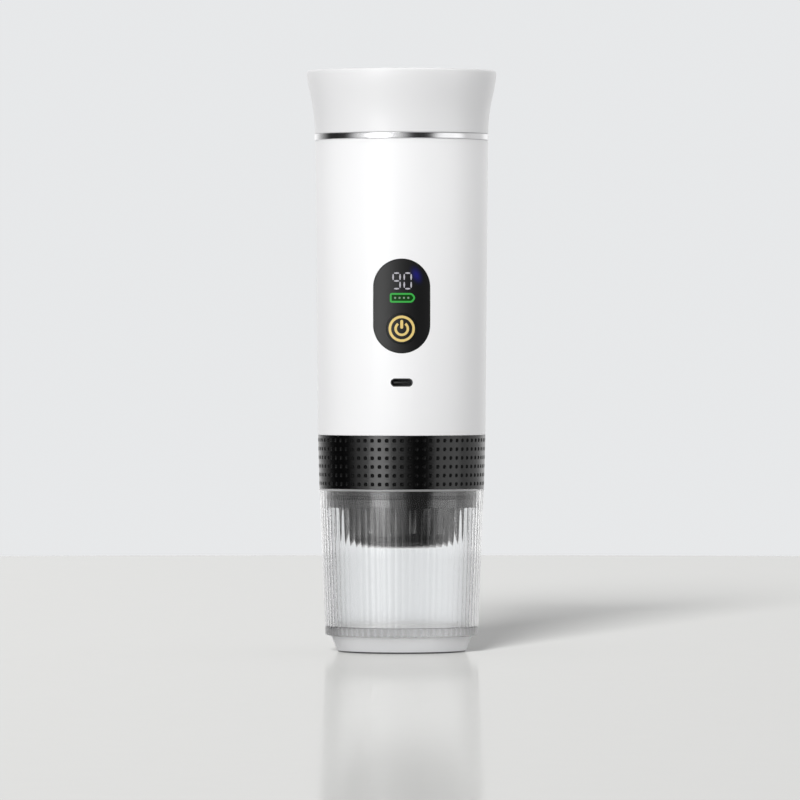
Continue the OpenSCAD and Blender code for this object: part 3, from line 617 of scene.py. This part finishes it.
# Flat seal with two ribs between the lid and the tank
seal_low = low("lid_seal").z
rib_w, rib_foot, rib_h = 0.5, 0.7, 0.15
lid_seal = turned("lid_seal_skin", [
    (seal_in, seal_low), (seal_out, seal_low), (seal_out, z_ring), (seal_out - rib_w, z_ring),
    (seal_out - rib_foot, z_ring - rib_h), (seal_in + rib_foot, z_ring - rib_h), (seal_in + rib_w, z_ring),
    (seal_in, z_ring)])
soften(lid_seal, 0.12, 2)
dress(lid_seal, SEAL_RUBBER, "seal_ring", "black_rubber", "lid_seal")

# Polished ring that clamps the tank
ring_in = seal_out + 0.3
ring_wall = body_top_r - 0.8
trim = turned("trim_ring_skin", [
    (ring_wall, z_body), (ring_r, z_body), (ring_r, z_ring), (ring_in, z_ring), (ring_in, seal_low),
    (ring_wall, seal_low)], points=384)
soften(trim, 0.3, 4)
dress(trim, CHROME, "machine", "chrome", "trim_ring")

# Drawn steel tank with rounded corners and the outlet in its floor
tank_r = seal_in - 0.8
tank_t = 0.8
flange_r = ring_wall - 0.2
tank_in = z_tank + tank_t
tank_out_r = tank_r + tank_t
corner_out, corner_in, mouth = 2.4, 2.0, 0.6
tank_flange = seal_low - 1
tank = turned("water_tank_skin", [(0, z_tank), (tank_out_r - 2, z_tank)]
              + arc(tank_out_r - corner_out, z_tank + corner_out, corner_out, -80, 0, 6)
              + [(tank_out_r, tank_flange), (flange_r, tank_flange), (flange_r, seal_low),
                 (tank_r + 0.4, seal_low)]
              + arc(tank_r + mouth, seal_low - mouth, mouth, 120, 180, 3)
              + arc(tank_r - corner_in, tank_in + corner_in, corner_in, 0, -90, 7) + [(0, tank_in)])
beside = (pump_at.x, pump_at.y)
nipple_low, nipple_top = z_tank - 9, z_tank + 0.3
nipple = turned("outlet_nipple", [(1.2, nipple_low), (2.2, nipple_low), (2.2, nipple_top), (1.2, nipple_top)],
                points=48, at=beside)
join(tank, nipple)
dress(tank, STEEL, "machine", "steel", "water_tank", angle=40)

# Gaskets, mount, hoses and sleeve about the tank, the pump and the brew group


def soft_ring(name, node, r_in, r_out, material, slot, at=(0, 0), edge=0.2, points=ROUND):
    """Soft ring between two radii that takes the height of its node."""
    z0, z1 = low(node).z, high(node).z
    piece = turned(name, [(r_in, z0), (r_out, z0), (r_out, z1), (r_in, z1)], points=points, at=at)
    soften(piece, edge)
    dress(piece, material, "machine", slot, node)


shell_wall = 2.3
hose_r = high("inlet_hose").x - pump_at.x
soft_ring("tank_gasket_skin", "tank_gasket", body_top_r - shell_wall, flange_r, SEAL_RUBBER, "black_rubber",
          edge=0.12)
soft_ring("group_gasket_skin", "group_gasket", high("shower_screen").x + 1, high("group_gasket").x,
          SEAL_RUBBER, "black_rubber", edge=0.4)
soft_ring("pump_mount_skin", "pump_mount", 3.9, high("pump_mount").x - pump_at.x, SEAL_RUBBER, "black_rubber",
          beside, 0.5, 64)
for hose in ("inlet_hose", "outlet_hose"):
    soft_ring(hose + "_skin", hose, 2.25, hose_r, HOSE, "hose_silicone", beside, 0.2, 48)
sleeve_r = high("tank_insulator").x
sleeve_in = high("heater_band").x + 0.3
sleeve_low, sleeve_top = low("tank_insulator").z, high("tank_insulator").z
outlet_r = 2.5
sleeve = turned("tank_insulator_skin", [
    (outlet_r, sleeve_low), (sleeve_r, sleeve_low), (sleeve_r, sleeve_top), (sleeve_in, sleeve_top),
    (sleeve_in, z_tank), (outlet_r, z_tank)])
soften(sleeve, 0.5)
dress(sleeve, FELT, "machine", "insulation", "tank_insulator")

# Wound springs of the pump


def wound_spring(name, node, r, turns, wire):
    """Wire wound about the axis of the pump, as high as its node at rest."""
    z0 = low(node).z
    length = high(node).z - z0
    clear()
    bpy.ops.mesh.primitive_circle_add(vertices=10, radius=wire * MM, rotation=(math.pi / 2, 0, 0),
                                      location=(r * MM, 0, (z0 + wire) * MM))
    piece = started(name)
    mode("OBJECT")
    modify(piece, "SCREW", axis="Z", angle=FULL, screw_offset=(length - 2 * wire) / turns * MM,
           iterations=turns, steps=28, render_steps=28, use_merge_vertices=False)
    mode("EDIT")
    bpy.ops.mesh.select_mode(type="EDGE")
    pick_all()
    bpy.ops.mesh.remove_doubles(threshold=0.002 * MM)
    bpy.ops.mesh.select_non_manifold(extend=False)
    bpy.ops.mesh.fill_holes(sides=0)
    pick_all()
    move(pump_at.x, pump_at.y, 0)
    close_up()
    dress(piece, PLATE_STEEL, "machine", "steel", node, angle=60)
    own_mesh(piece)


wound_spring("plunger_spring_wire", "plunger_spring", 3.1, 5, 0.4)
wound_spring("valve_spring_wire", "valve_spring", 1.9, 3, 0.25)

# Body tube with the panel's opening and the charging slot


def pill(name, w, h, z, points=96, across=False):
    """Flat slot shape with round ends, facing the front: a disc pulled apart into two halves."""
    long, short = max(w, h), min(w, h)
    piece = front_disc(name, short / 2, 0, z, points)
    spread = (long - short) / 2
    for side in (1, -1):
        pick(piece, lambda p: side * (p.x if across else p.z - z) > 0.001)
        move(side * spread if across else 0, 0, 0 if across else side * spread)
    pick_all()
    return piece


def pill_cutter(name, w, h, z, across=False):
    """Slot shape deep enough to cut through the body's front wall."""
    piece = pill(name, w, h, z, across=across)
    pull(y=30)
    close_up()
    return piece


slot_w, slot_h = 9.1, 3.4
shell = turned("outer_shell_skin", [
    (body_low_r - shell_wall, z_band), (body_low_r, z_band), (body_top_r, z_body),
    (body_top_r - shell_wall, z_body)], points=384)
soften(shell, 0.35)
cut(shell, pill_cutter("panel_opening", panel_w + 0.2, panel_high - panel_low + 0.2, panel_z))
cut(shell, pill_cutter("port_opening", slot_w, slot_h, usb_z, across=True))
dress(shell, WHITE, "machine", "white_plastic", "outer_shell", angle=25)

# Upright cone that the panel and its marks are bent on
former = turned("panel_former", [(shell_r(z), z) for z in (z_band + 20, z_body - 30)], closed=False,
                points=720)
STRIP = 1.2
STRIP_LEAST = 0.3


def bend_on(piece, lift):
    """Cuts a flat front piece into upright strips and lays it on the body's surface."""
    mode("EDIT")
    xs = [v.co.x / MM for v in bmesh.from_edit_mesh(piece.data).verts]
    x = math.ceil(min(xs) / STRIP) * STRIP
    while x < max(xs):
        if min(x - min(xs), max(xs) - x) > STRIP_LEAST:
            pick_all()
            bpy.ops.mesh.bisect(plane_co=(x * MM, 0, 0), plane_no=(1, 0, 0))
        x += STRIP
    mode("OBJECT")
    modify(piece, "SHRINKWRAP", target=former, wrap_method="PROJECT", use_project_y=True,
           use_positive_direction=True, use_negative_direction=False)
    mode("EDIT")
    pick_all()
    if sum(f.normal.y for f in bmesh.from_edit_mesh(piece.data).faces) > 0:
        bpy.ops.mesh.flip_normals()
    move(0, -lift, 0)
    mode("OBJECT")


def thicken(piece, depth):
    """Gives an open sheet a thickness behind its face."""
    modify(piece, "SOLIDIFY", thickness=depth * MM, offset=-1.0, use_even_offset=True)


def inset_rim(widths):
    """Sets rims of these widths into a flat face and leaves the field inside selected."""
    bpy.ops.mesh.select_mode(type="FACE")
    pick_all()
    for width in widths:
        bpy.ops.mesh.inset(thickness=width * MM, depth=0)


# Gloss window, with a softly rounded rim and the hole for the key
EDGE = 0.12
RIM = (0.15, 0.25)
window = pill("display_panel_skin", panel_w, panel_high - panel_low, panel_z)
inset_rim(RIM)
bend_on(window, 0)
thicken(window, panel_t)
soften(window, EDGE, 2, 50)
clear()
bpy.ops.mesh.primitive_cylinder_add(vertices=128, radius=(key_r + key_gap) * MM, depth=40 * MM,
                                    location=(0, -40 * MM, key_z * MM), rotation=(math.pi / 2, 0, 0))
key_hole = started("key_hole")
close_up()
cut(window, key_hole)
dress(window, WINDOW, "machine", "black_gloss", "display_panel", angle=25)

# Key with its ring and mark
key = front_disc("power_button_skin", key_r, 0, key_z, 128)
inset_rim(RIM)
bend_on(key, 0)
thicken(key, panel_t + 0.6)
soften(key, EDGE, 2, 50)
dress(key, KEY_BLACK, "key", "black_gloss", "power_button", angle=25)


def flat_ring(name, outer, width):
    """Flat ring about the key's middle, facing the front."""
    piece = front_disc(name, outer, 0, key_z, 128, "NOTHING")
    kept = (outer - width) / outer
    pull()
    scale(kept, 1, kept, (0, FRONT, key_z))
    return piece


PRINT, PRINT_T = 0.04, 0.1
ring = flat_ring("button_ring_skin", 5.36, 1.02)
bend_on(ring, PRINT)
thicken(ring, 0.3)
dress(ring, GOLD, "key", "gold", "button_ring", angle=40)

mark_arc = flat_ring("power_mark", 3.0, 1.0)
gap_half = math.radians(37)
pick(mark_arc, lambda p: abs(math.atan2(p.x, p.z - key_z)) < gap_half, "FACE")
bpy.ops.mesh.delete(type="FACE")
mode("OBJECT")
mark_bar = pill("power_mark_bar", 1.2, 3.6, key_z + 1.8, points=32)
mode("OBJECT")
mark = join(mark_arc, mark_bar)
bend_on(mark, PRINT)
thicken(mark, PRINT_T)
dress(mark, GOLD, "key", "gold", angle=40)

# Two lit digits: a level bar and an upright one, each drawn out of a six-sided disc and copied
digit_w, digit_h, bar_t, bar_gap = 3.45, 7.0, 0.62, 0.8
digit_z = 152.95
half_w, half_h = (digit_w - bar_t) / 2, (digit_h - bar_t) / 2


def bars(name, places, length, upright):
    """Bars of the digits that lie the same way."""
    x, z = places[0]
    piece = front_disc(name, bar_t / 2 / math.cos(math.pi / 6), x, z, 6)
    reach = (length - bar_t) / 2
    if upright:
        bpy.ops.transform.rotate(value=math.pi / 2, orient_axis="Y",
                                 center_override=(x * MM, FRONT * MM, z * MM))
    for side in (1, -1):
        pick(piece, lambda p: side * ((p.z - z) if upright else (p.x - x)) > 0.01)
        move(0 if upright else side * reach, 0, side * reach if upright else 0)
    pick_all()
    copy_along(places)
    mode("OBJECT")
    return piece


PLACES = {"top": (0, 1, False), "middle": (0, 0, False), "bottom": (0, -1, False),
          "upper left": (-1, 0.5, True), "upper right": (1, 0.5, True),
          "lower left": (-1, -0.5, True), "lower right": (1, -0.5, True)}
DIGITS = ((-2.1, ("top", "middle", "bottom", "upper left", "upper right", "lower right")),
          (2.45, ("top", "bottom", "upper left", "upper right", "lower left", "lower right")))
bar_places = {False: [], True: []}
for digit_x, shown in DIGITS:
    for place in shown:
        side, height, upright = PLACES[place]
        bar_places[upright].append((digit_x + side * half_w, digit_z + height * half_h))
digits = join(bars("display_digits", bar_places[False], 2 * half_w - bar_gap, False),
              bars("upright_bars", bar_places[True], half_h - bar_gap, True))
bend_on(digits, PRINT)
thicken(digits, PRINT_T)
dress(digits, DIGIT, "machine", "black_gloss", angle=40)

# Battery level: an outline with a pointed end, a dim field and four dots
level_left, level_right, level_tip, level_low, level_high = -4.85, 4.35, 5.75, 144.05, 148.0
level_z = (level_low + level_high) / 2
level_x = (level_left + level_right) / 2
level = front_plate("battery_level", level_right - level_left, level_high - level_low,
                    (level_x, FRONT, level_z))
pick(level, lambda p: p.x > level_right - 0.1, "EDGE")
bpy.ops.mesh.subdivide(number_cuts=1, ngon=True)
pick(level, lambda p: p.x > level_right - 0.1 and abs(p.z - level_z) < 0.1)
move(level_tip - level_right, 0, 0)
pick_all()
bpy.ops.mesh.bevel(affect="VERTICES", offset=0.85 * MM, segments=4)
inset_rim((0.72,))
coat(level, GREEN, DIM_GREEN)
paint(level, 1)
bend_on(level, PRINT)
thicken(level, PRINT_T)
dress(level, GREEN, "machine", "black_gloss", angle=40)

dot_r = 0.42
dot_places = [(x, level_z) for x in (-2.7, -0.9, 0.9, 2.7)]
level_dots = front_disc("battery_level_dots", dot_r, *dot_places[0], 16)
copy_along(dot_places)
bend_on(level_dots, PRINT + 0.03)
thicken(level_dots, 0.06)
dress(level_dots, DOT, "machine", "black_gloss", angle=40)
bpy.data.objects.remove(former)

# Charging socket: drawn sleeve, tongue and its contacts
usb_front = low("usb_socket").y
usb_back = high("usb_socket").y
usb_w = high("usb_socket").x * 2
usb_h = high("usb_socket").z - low("usb_socket").z
port_rim = 0.3
port = pill("usb_socket_skin", usb_w, usb_h, usb_z, across=True)
move(0, usb_front - FRONT, 0)
bpy.ops.mesh.select_mode(type="FACE")
bpy.ops.mesh.inset(thickness=port_rim * MM, depth=0)
pull(y=usb_back - usb_front - port_rim)
mode("OBJECT")
thicken(port, port_rim / 2)
soften(port, 0.06, 2, 60)
dress(port, PORT_STEEL, "machine", "steel", "usb_socket", angle=40)

tongue_w, tongue_t = 6.7, 0.75
tongue_front = usb_front + 1.2
tongue = block("usb_tongue", (0, (tongue_front + usb_back) / 2, usb_z),
               (tongue_w, usb_back - tongue_front, tongue_t))
close_up()
soften(tongue, 0.12, 2)
dress(tongue, PORT_BLACK, "machine", "black_plastic")
PADS, pad_pitch, pad_size = 12, 0.5, (0.26, 2.6, 0.81)
pad_places = [((i - (PADS - 1) / 2) * pad_pitch, usb_z) for i in range(PADS)]
contacts = block("usb_contacts", (pad_places[0][0], usb_front + 3.2, usb_z), pad_size)
bpy.ops.mesh.bevel(offset=0.05 * MM, segments=1)
pick_all()
copy_along(pad_places)
mode("OBJECT")
dress(contacts, CONTACT, "machine", "gold")

# Dimpled rubber band: one tile with a dimple, stacked in a column and set round the band
ROWS, COLUMNS = 6, 70
margin = 2.0
pitch = (z_band - z_rim - 2 * margin) / (ROWS - 1)
dimple_r = 0.78
band_t = 1.6
seam = 0.03
half_turn = math.pi / COLUMNS
tile_z = z_rim + margin
tile_y = -band_r(tile_z) * math.cos(half_turn)
tile_w = 2 * band_r(tile_z) * math.sin(half_turn)
lean = (body_low_r - rim_r) / (z_band - z_rim)
band = front_plate("grip_band_skin", tile_w, pitch, (0, tile_y, tile_z))
pick(band, lambda p: p.z > tile_z)
move(0, -lean * pitch, 0)
pick_all()
move(0, lean * pitch / 2, 0)
bpy.ops.mesh.select_mode(type="FACE")
bpy.ops.mesh.inset(thickness=(tile_w / 2 - dimple_r) * MM, depth=0)
scale(1, 1, 2 * dimple_r / (pitch - tile_w + 2 * dimple_r), (0, tile_y, tile_z))
bpy.ops.mesh.select_mode(type="VERT")
bpy.ops.mesh.bevel(affect="VERTICES", offset=dimple_r * 0.62 * MM, segments=2)
pick(band, lambda p: abs(p.x) < 0.1 and abs(p.z - tile_z) < 0.1, "FACE")
move(0, tile_y * (1 / math.cos(half_turn) - 1), 0)
for grow, depth in ((0.8, 0.22), (0.62, 0.16), (0.3, 0.07)):
    pull(y=depth)
    scale(grow, 1, grow, (0, tile_y, tile_z))
coat(band, RUBBER, DIMPLE_RUBBER)
pick(band, lambda p: math.hypot(p.x, p.z - tile_z) < dimple_r * 0.93, "FACE")
paint(band, 1)
pick_all()
for row in range(1, ROWS):
    bpy.ops.mesh.duplicate_move(TRANSFORM_OT_translate={"value": (0, -lean * pitch * MM, pitch * MM)})
    wider = band_r(tile_z + row * pitch) / band_r(tile_z + (row - 1) * pitch)
    scale(wider, 1, 1, (0, 0, 0))
for z_end, rise in ((z_band, margin - pitch / 2), (z_rim, pitch / 2 - margin)):
    pick(band, lambda p: abs(p.z - z_end + rise) < 0.01, "EDGE")
    pull(y=-lean * rise, z=rise)
mode("OBJECT")
turn = placed("column_turn")
turn.rotation_euler.z = FULL / COLUMNS
bpy.context.view_layer.update()
modify(band, "ARRAY", count=COLUMNS, use_relative_offset=False, use_object_offset=True, offset_object=turn,
       use_merge_vertices=True, merge_threshold=seam * MM)
bpy.data.objects.remove(turn)
mode("EDIT")
pick_all()
bpy.ops.mesh.remove_doubles(threshold=seam * MM)
pick(band, lambda p: p.z > z_band - 0.02, "EDGE")
inner = (body_low_r - band_t) / body_low_r
pull()
scale(inner, inner, 1, (0, 0, z_band))
pull(z=z_rim - z_band)
inner_low = (rim_r - band_t) / (body_low_r - band_t)
scale(inner_low, inner_low, 1, (0, 0, z_rim))
pull()
outer_low = rim_r / (rim_r - band_t)
scale(outer_low, outer_low, 1, (0, 0, z_rim))
close_up(seam)
dress(band, RUBBER, "machine", "black_rubber", "grip_band", angle=32)

# Brew group: skirt in the cup, bore for the holder, and ceiling over the basket
bore = high("group_gasket").x + 0.1
cup_wall = 1.9
skirt_r = rim_r - cup_wall - 0.45
skirt_low_r = skirt_r - 0.28
skirt_end = z_skirt - 0.7
seal_z = (low("cup_seal").z + high("cup_seal").z) / 2
seal_t = 1.0
seal_mid = high("cup_seal").x - seal_t
seat = high("group_gasket").z
ceiling = seat + 2
boss_low = seat - 0.6
deck = z_band - 1.6
spigot_top = z_band + 5
spigot_r = shell_r(spigot_top) - 2.4
spigot_in = spigot_r - 2.75
groove = arc(seal_mid, seal_z, seal_t + 0.01, -40, -320, 10)
land = [(on_line(z, skirt_end, skirt_low_r, z_rim, skirt_r), z) for z in
        (skirt_end, skirt_end + 0.5, seal_z - 0.8, seal_z + 0.8, z_rim)]
housing = turned("group_housing_skin", [(bore, skirt_end)] + land[:3] + groove + land[3:] + [
    (band_r(z_rim) - band_t - 0.1, z_rim), (body_low_r - band_t - 0.1, z_band),
    (body_low_r - 2.4, z_band), (spigot_r, spigot_top), (spigot_in, spigot_top), (spigot_in, deck),
    (0.01, deck), (0.01, boss_low), (5, boss_low), (5, ceiling), (bore - 4, ceiling), (bore - 4, seat),
    (bore, seat)])
soften(housing, 0.35, 2, 60)
dress(housing, DARK, "machine", "dark_plastic", "group_housing", angle=35)
cup_seal = turned("cup_seal_skin", arc(seal_mid, seal_z, seal_t, 0, 342, 19))
dress(cup_seal, RUBBER, "machine", "black_rubber", "cup_seal")

# Repeating pattern pressed into one ring of a turned piece


def press(piece, z, r, depths, count, out=False):
    """Pulls the points of the outer ring at one height in, or back out, in a pattern round the axis."""
    per = len(depths)

    def on_ring(p):
        return abs(p.z - z) < 0.001 and math.hypot(p.x, p.y) > r - 1

    def place(p):
        return round(math.atan2(p.y, p.x) / FULL * per * count) % per

    for k, deep in enumerate(depths):
        if deep:
            pick(piece, lambda p: on_ring(p) and place(p) == k)
            kept = r / (r - deep) if out else (r - deep) / r
            scale(kept, kept, 1, (0, 0, z))
    pick(piece, on_ring)


# Coffee basket and the grooved holder that carries it
holder_top = high("filter_holder").z
holder_low = low("filter_holder").z
holder_r = high("filter_holder").x
grip_r = holder_r - 0.5
grip_top = z_skirt - 0.5
holder_in = holder_r - 3.2
basket_r = holder_in - 0.8
basket_low = low("filter_basket").z
basket_top = high("filter_basket").z
flange_low = basket_top - 0.8
basket = turned("filter_basket_skin", [
    (basket_r - 2.2, basket_low), (basket_r - 0.9, basket_low), (basket_r - 0.5, basket_low + 0.4),
    (basket_r + 0.5, flange_low), (holder_r - 0.8, flange_low), (holder_r - 0.8, basket_top - 0.2),
    (holder_r - 1, basket_top), (basket_r + 0.4, basket_top), (basket_r, basket_top - 0.4),
    (basket_r - 1, basket_low + 0.9), (basket_r - 1.3, basket_low + 0.5), (basket_r - 2.2, basket_low + 0.5)])
dress(basket, STEEL, "basket", "steel", "filter_basket", angle=40)

GRIP_COUNT = 18
grip_press = [0.8, 0.55, 0.1] + [0] * 7 + [0.1, 0.55]
grip_low_r = grip_r - 1.6
spout_r, dome_flat, dome_h, dome_steps = 3, 13, 6.5, 10
dome_turn = [math.radians(90 * i / dome_steps) for i in range(dome_steps + 1)]
dome = [(dome_flat + (grip_low_r - dome_flat) * math.sin(a), holder_low + dome_h * (1 - math.cos(a)))
        for a in dome_turn]
holder = ring_start("filter_holder_skin", spout_r, holder_low, GRIP_COUNT * len(grip_press))
follow([(spout_r, holder_low)] + dome)
press(holder, dome[-1][1], grip_low_r, grip_press, GRIP_COUNT)
groove_end = grip_top - 0.4
follow([dome[-1], (grip_r, grip_top - 0.9), (grip_r, groove_end)])
press(holder, groove_end, grip_r, grip_press, GRIP_COUNT, out=True)
follow([(grip_r, groove_end), (grip_r, grip_top), (holder_r, grip_top + 0.5), (holder_r, holder_top),
        (holder_in, holder_top), (holder_in, basket_low - 3), (spout_r, basket_low - 10),
        (spout_r, holder_low)])
close_up()
soften(holder, 0.25, 2, 40)
dress(holder, DARK, "holder", "dark_plastic", "filter_holder", angle=35)

# Fluted cup on its foot: the flutes are pressed into the outer wall between two rings
FLUTES = 72
flute_deep = 0.16
flute_half = 4
flute_press = [flute_deep * (1 - min(k, 2 * flute_half - k) / flute_half) ** 2 for k in range(2 * flute_half)]
foot_r, foot_top_r, foot_h, low_r = 26.6, 29.2, 6.9, 31.6
hollow_r, hollow_h = 21.6, 1.0
floor_z = 10.5
lip = 0.45
rim_h = 0.9
round_in = 0.5


def cup_r(z):
    return on_line(z, foot_h, low_r, z_rim, rim_r)


flute_low = foot_h + 0.6
flute_end = z_rim - 7.7
wall_rings = 12
wall_step = (flute_end - 1.2 - flute_low) / wall_rings
stand_in, stand_edge = 23.0, 0.7
cup = ring_start("cup_skin", hollow_r, hollow_h, FLUTES * len(flute_press))
follow([(hollow_r, hollow_h), (22.2, 0.6), (22.6, 0.15), (stand_in, 0), (25.8, 0), (26.3, 0.2),
        (foot_r, stand_edge), (foot_top_r - 0.1, foot_h - 0.4), (foot_top_r + 0.1, foot_h - 0.1),
        (foot_top_r + 0.4, foot_h), (low_r - 0.7, foot_h), (low_r - 0.25, foot_h + 0.15),
        (cup_r(flute_low), flute_low)])
press(cup, flute_low, cup_r(flute_low), flute_press, FLUTES)
heights = [flute_low + wall_step * i for i in range(wall_rings + 1)] + [flute_end]
follow([(cup_r(z), z) for z in heights])
press(cup, flute_end, cup_r(flute_end), flute_press, FLUTES, out=True)
outer_wall = [(cup_r(z), z) for z in (flute_end, z_rim - 4, z_rim - rim_h, z_rim - lip)]
inner_wall = [(cup_r(z) - cup_wall, z) for z in (z_rim - down for down in (7, 16, 26, 36, 46))]
follow(outer_wall + arc(rim_r - lip, z_rim - lip, lip, 15, 90, 5)
       + arc(rim_r - cup_wall + lip, z_rim - lip, lip, 90, 180, 5) + inner_wall
       + arc(cup_r(floor_z) - cup_wall - round_in, floor_z + round_in, round_in, 0, -90, 8) + [(0, floor_z)])
cap_open_ring()
coat(cup, CLEAR, RIM_HIGHLIGHT, FROST, FOOT_CONTACT_SHADOW)
# Slot 1: the rim faces take the painted highlight.
# Slot 3: the lowest faces of the foot take the painted contact shadow.
for slot, test in ((1, lambda p: p.z > z_rim - rim_h),
                   (2, lambda p: p.z < foot_h - 0.05 and p.xy.length > stand_in),
                   (3, lambda p: p.z < stand_edge and p.xy.length > stand_in)):
    pick(cup, test, "FACE")
    paint(cup, slot)
close_up()
dress(cup, CLEAR, "cup", "clear_cup", "cup", angle=35)

# Finishes of the CAD nodes that stay
NODE_FINISH = {
    PLATE_STEEL: ("shower_screen", "shower_screw", "basket_screen", "board_screws", "chassis_screws",
                  "cell_tabs", "pump_yoke", "plunger"),
    BOARD: ("main_board",), BLACK: ("display_module", "tact_switch", "chassis", "cell_cradle", "temp_sensor"),
    SLEEVE: ("battery_cells",), IVORY: ("pump_body",), COPPER: ("pump_coil",), SILICONE: ("outlet_valve",),
    FILM: ("heater_band",)}
for material, nodes in NODE_FINISH.items():
    for node in nodes:
        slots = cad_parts[node].data.materials
        slots.clear()
        slots.append(material)

# Pale floor
clear()
bpy.ops.mesh.primitive_circle_add(vertices=128, radius=1.38, fill_type="NGON", location=(0, 0, 0))
floor = started("floor")
mode("OBJECT")
floor.data.materials.append(finish("pale floor", (0.4, 0.4, 0.392), 0.4, tint=0.02, spread=0.01, grain=0,
                                   size=60, Specular_IOR_Level=0.0, Coat_Weight=0.35, Coat_Roughness=0.1))

# Camera at the photograph's angle


def aim(viewer, target):
    """Turns a camera or a light towards a point."""
    viewer.rotation_euler = (Vector(target) - viewer.location).to_track_quat("-Z", "Y").to_euler()


camera = placed("camera", bpy.data.cameras.new("camera"))
camera.data.sensor_width = 36
camera.data.lens = 332
camera.data.clip_end = 50
camera.location = (-0.0007, -3.05, 0.128)
aim(camera, (-0.0007, 0, 0.104))
bpy.context.scene.camera = camera

# Soft studio light: upright boxes round the object, two overhead, and a sun for the floor's shadow


def soft_box(name, angle, distance, height, wide, tall, watts):
    """Area light at an angle round the object, measured from the camera's side towards the right."""
    light = placed(name, bpy.data.lights.new(name, "AREA"))
    light.data.shape = "RECTANGLE"
    light.data.size, light.data.size_y = wide, tall
    light.data.energy = watts
    turn = math.radians(angle)
    light.location = (distance * math.sin(turn), -distance * math.cos(turn), height)
    aim(light, (0, 0, 0.12))
    light.visible_camera = False
    return light


boxes = [soft_box("key light", -27, 1.6, 0.42, 0.8, 0.82, 15.6),
         soft_box("side light", 68, 1.4, 0.58, 0.4, 1.15, 5),
         soft_box("back light", 165, 1.6, 0.6, 1.0, 1.2, 6),
         soft_box("top light", 0, 0.05, 1.6, 0.8, 0.8, 9)]
for light in boxes:
    light.visible_glossy = light.visible_transmission = False
boxes.append(soft_box("high light", -12, 1.2, 1.0, 0.35, 0.35, 1.2))
floor_light = placed("floor light", bpy.data.lights.new("floor light", "SUN"))
floor_light.data.energy = 11.3
floor_light.data.angle = math.radians(14)
floor_light.rotation_euler = (math.radians(70), 0, math.radians(-10))
floor_only = bpy.data.collections.new("floor only")
floor_only.objects.link(floor)
floor_light.light_linking.receiver_collection = floor_only
all_but_floor = bpy.data.collections.new("all but the floor")
all_but_floor.objects.link(floor)
all_but_floor.collection_objects[0].light_linking.link_state = "EXCLUDE"
for light in boxes:
    light.light_linking.receiver_collection = all_but_floor
floor.visible_diffuse = floor.visible_glossy = floor.visible_transmission = False

# Pale room: what the camera sees, a fill that is strongest at eye level, and soft reflections round the sides
world = bpy.data.worlds.new("pale room")
bpy.context.scene.world = world
world.use_nodes = True
room = world.node_tree
seen = room.nodes["Background"]
seen.inputs["Color"].default_value = (0.80, 0.81, 0.82, 1)
toward = add_node(room, "TexCoord").outputs["Generated"]
upward = add_node(room, "SeparateXYZ", Vector=toward).outputs["Z"]


def fade(value, start, end, strength):
    """Smooth rise from nothing at one value to a strength at another."""
    made = add_node(room, "MapRange", Value=value, From_Min=start, From_Max=end, To_Max=strength)
    made.interpolation_type = "SMOOTHSTEP"
    return made.outputs["Result"]


def side_glow(angle, inner, outer, strength):
    """Soft patch round the upright axis: its angle from the camera's side towards the right, the half angles
    where it is full and where it ends, and its strength."""
    turn = math.radians(angle)
    near = add_node(room, "VectorMath", Vector=toward)
    near.operation = "DOT_PRODUCT"
    near.inputs[1].default_value = (math.sin(turn), -math.cos(turn), 0)
    return fade(near.outputs["Value"], math.cos(math.radians(outer)), math.cos(math.radians(inner)), strength)


glow = 0.015
for patch in ((-32, 14, 48, 0.9), (66, 10, 30, 1.1), (120, 8, 50, 0.65), (180, 10, 52, 0.8),
              (-150, 15, 38, 0.35)):
    glow = math_node(room, "ADD", side_glow(*patch), glow)
path = add_node(room, "LightPath").outputs
in_glass = math_node(room, "GREATER_THAN", path["Transmission Depth"], 0.5)
glass_glow = math_node(room, "ADD", side_glow(180, 60, 95, 0.2), side_glow(-104, 10, 48, 0.8))
glass_glow = math_node(room, "ADD", glass_glow, 0.02)
glow = math_node(room, "ADD", math_node(room, "MULTIPLY", glass_glow, in_glass), glow)
above_below = math_node(room, "ADD", fade(upward, 0.5, 0.95, 0.6), fade(upward, -0.35, -0.8, 0.45))
above_below = math_node(room, "MULTIPLY", above_below, math_node(room, "SUBTRACT", 1.0, in_glass))
glow = math_node(room, "ADD", above_below, glow)
core = math_node(room, "SUBTRACT", 1.0, math_node(room, "MULTIPLY", in_glass, 0.4))
glow = math_node(room, "ADD", math_node(room, "MULTIPLY", side_glow(-31, 8, 18, 2.5), core), glow)
reflected = add_node(room, "Background", Color=glow)
level_fill = math_node(room, "ADD", fade(upward, 0.75, 0.15, 0.6), fade(upward, -0.9, -0.1, 0.35))
for shade in ((42, 10, 80, 0.6), (-100, 15, 65, 0.4)):
    level_fill = math_node(room, "MULTIPLY", level_fill, math_node(room, "SUBTRACT", 1.0, side_glow(*shade)))
fill = add_node(room, "Background", Color=level_fill)
through = add_node(room, "Background", Color=(0.78, 0.80, 0.815, 1))
room_light = seen.outputs[0]
for bounces, shine in (("Transmission Depth", through), ("Glossy Depth", reflected), ("Diffuse Depth", fill)):
    both = add_node(room, "MixShader", Fac=math_node(room, "GREATER_THAN", path[bounces], 0.5))
    room.links.new(room_light, both.inputs[1])
    room.links.new(shine.outputs[0], both.inputs[2])
    room_light = both.outputs[0]
room.links.new(room_light, room.nodes["World Output"].inputs["Surface"])
bpy.context.scene.view_settings.view_transform = "Standard"
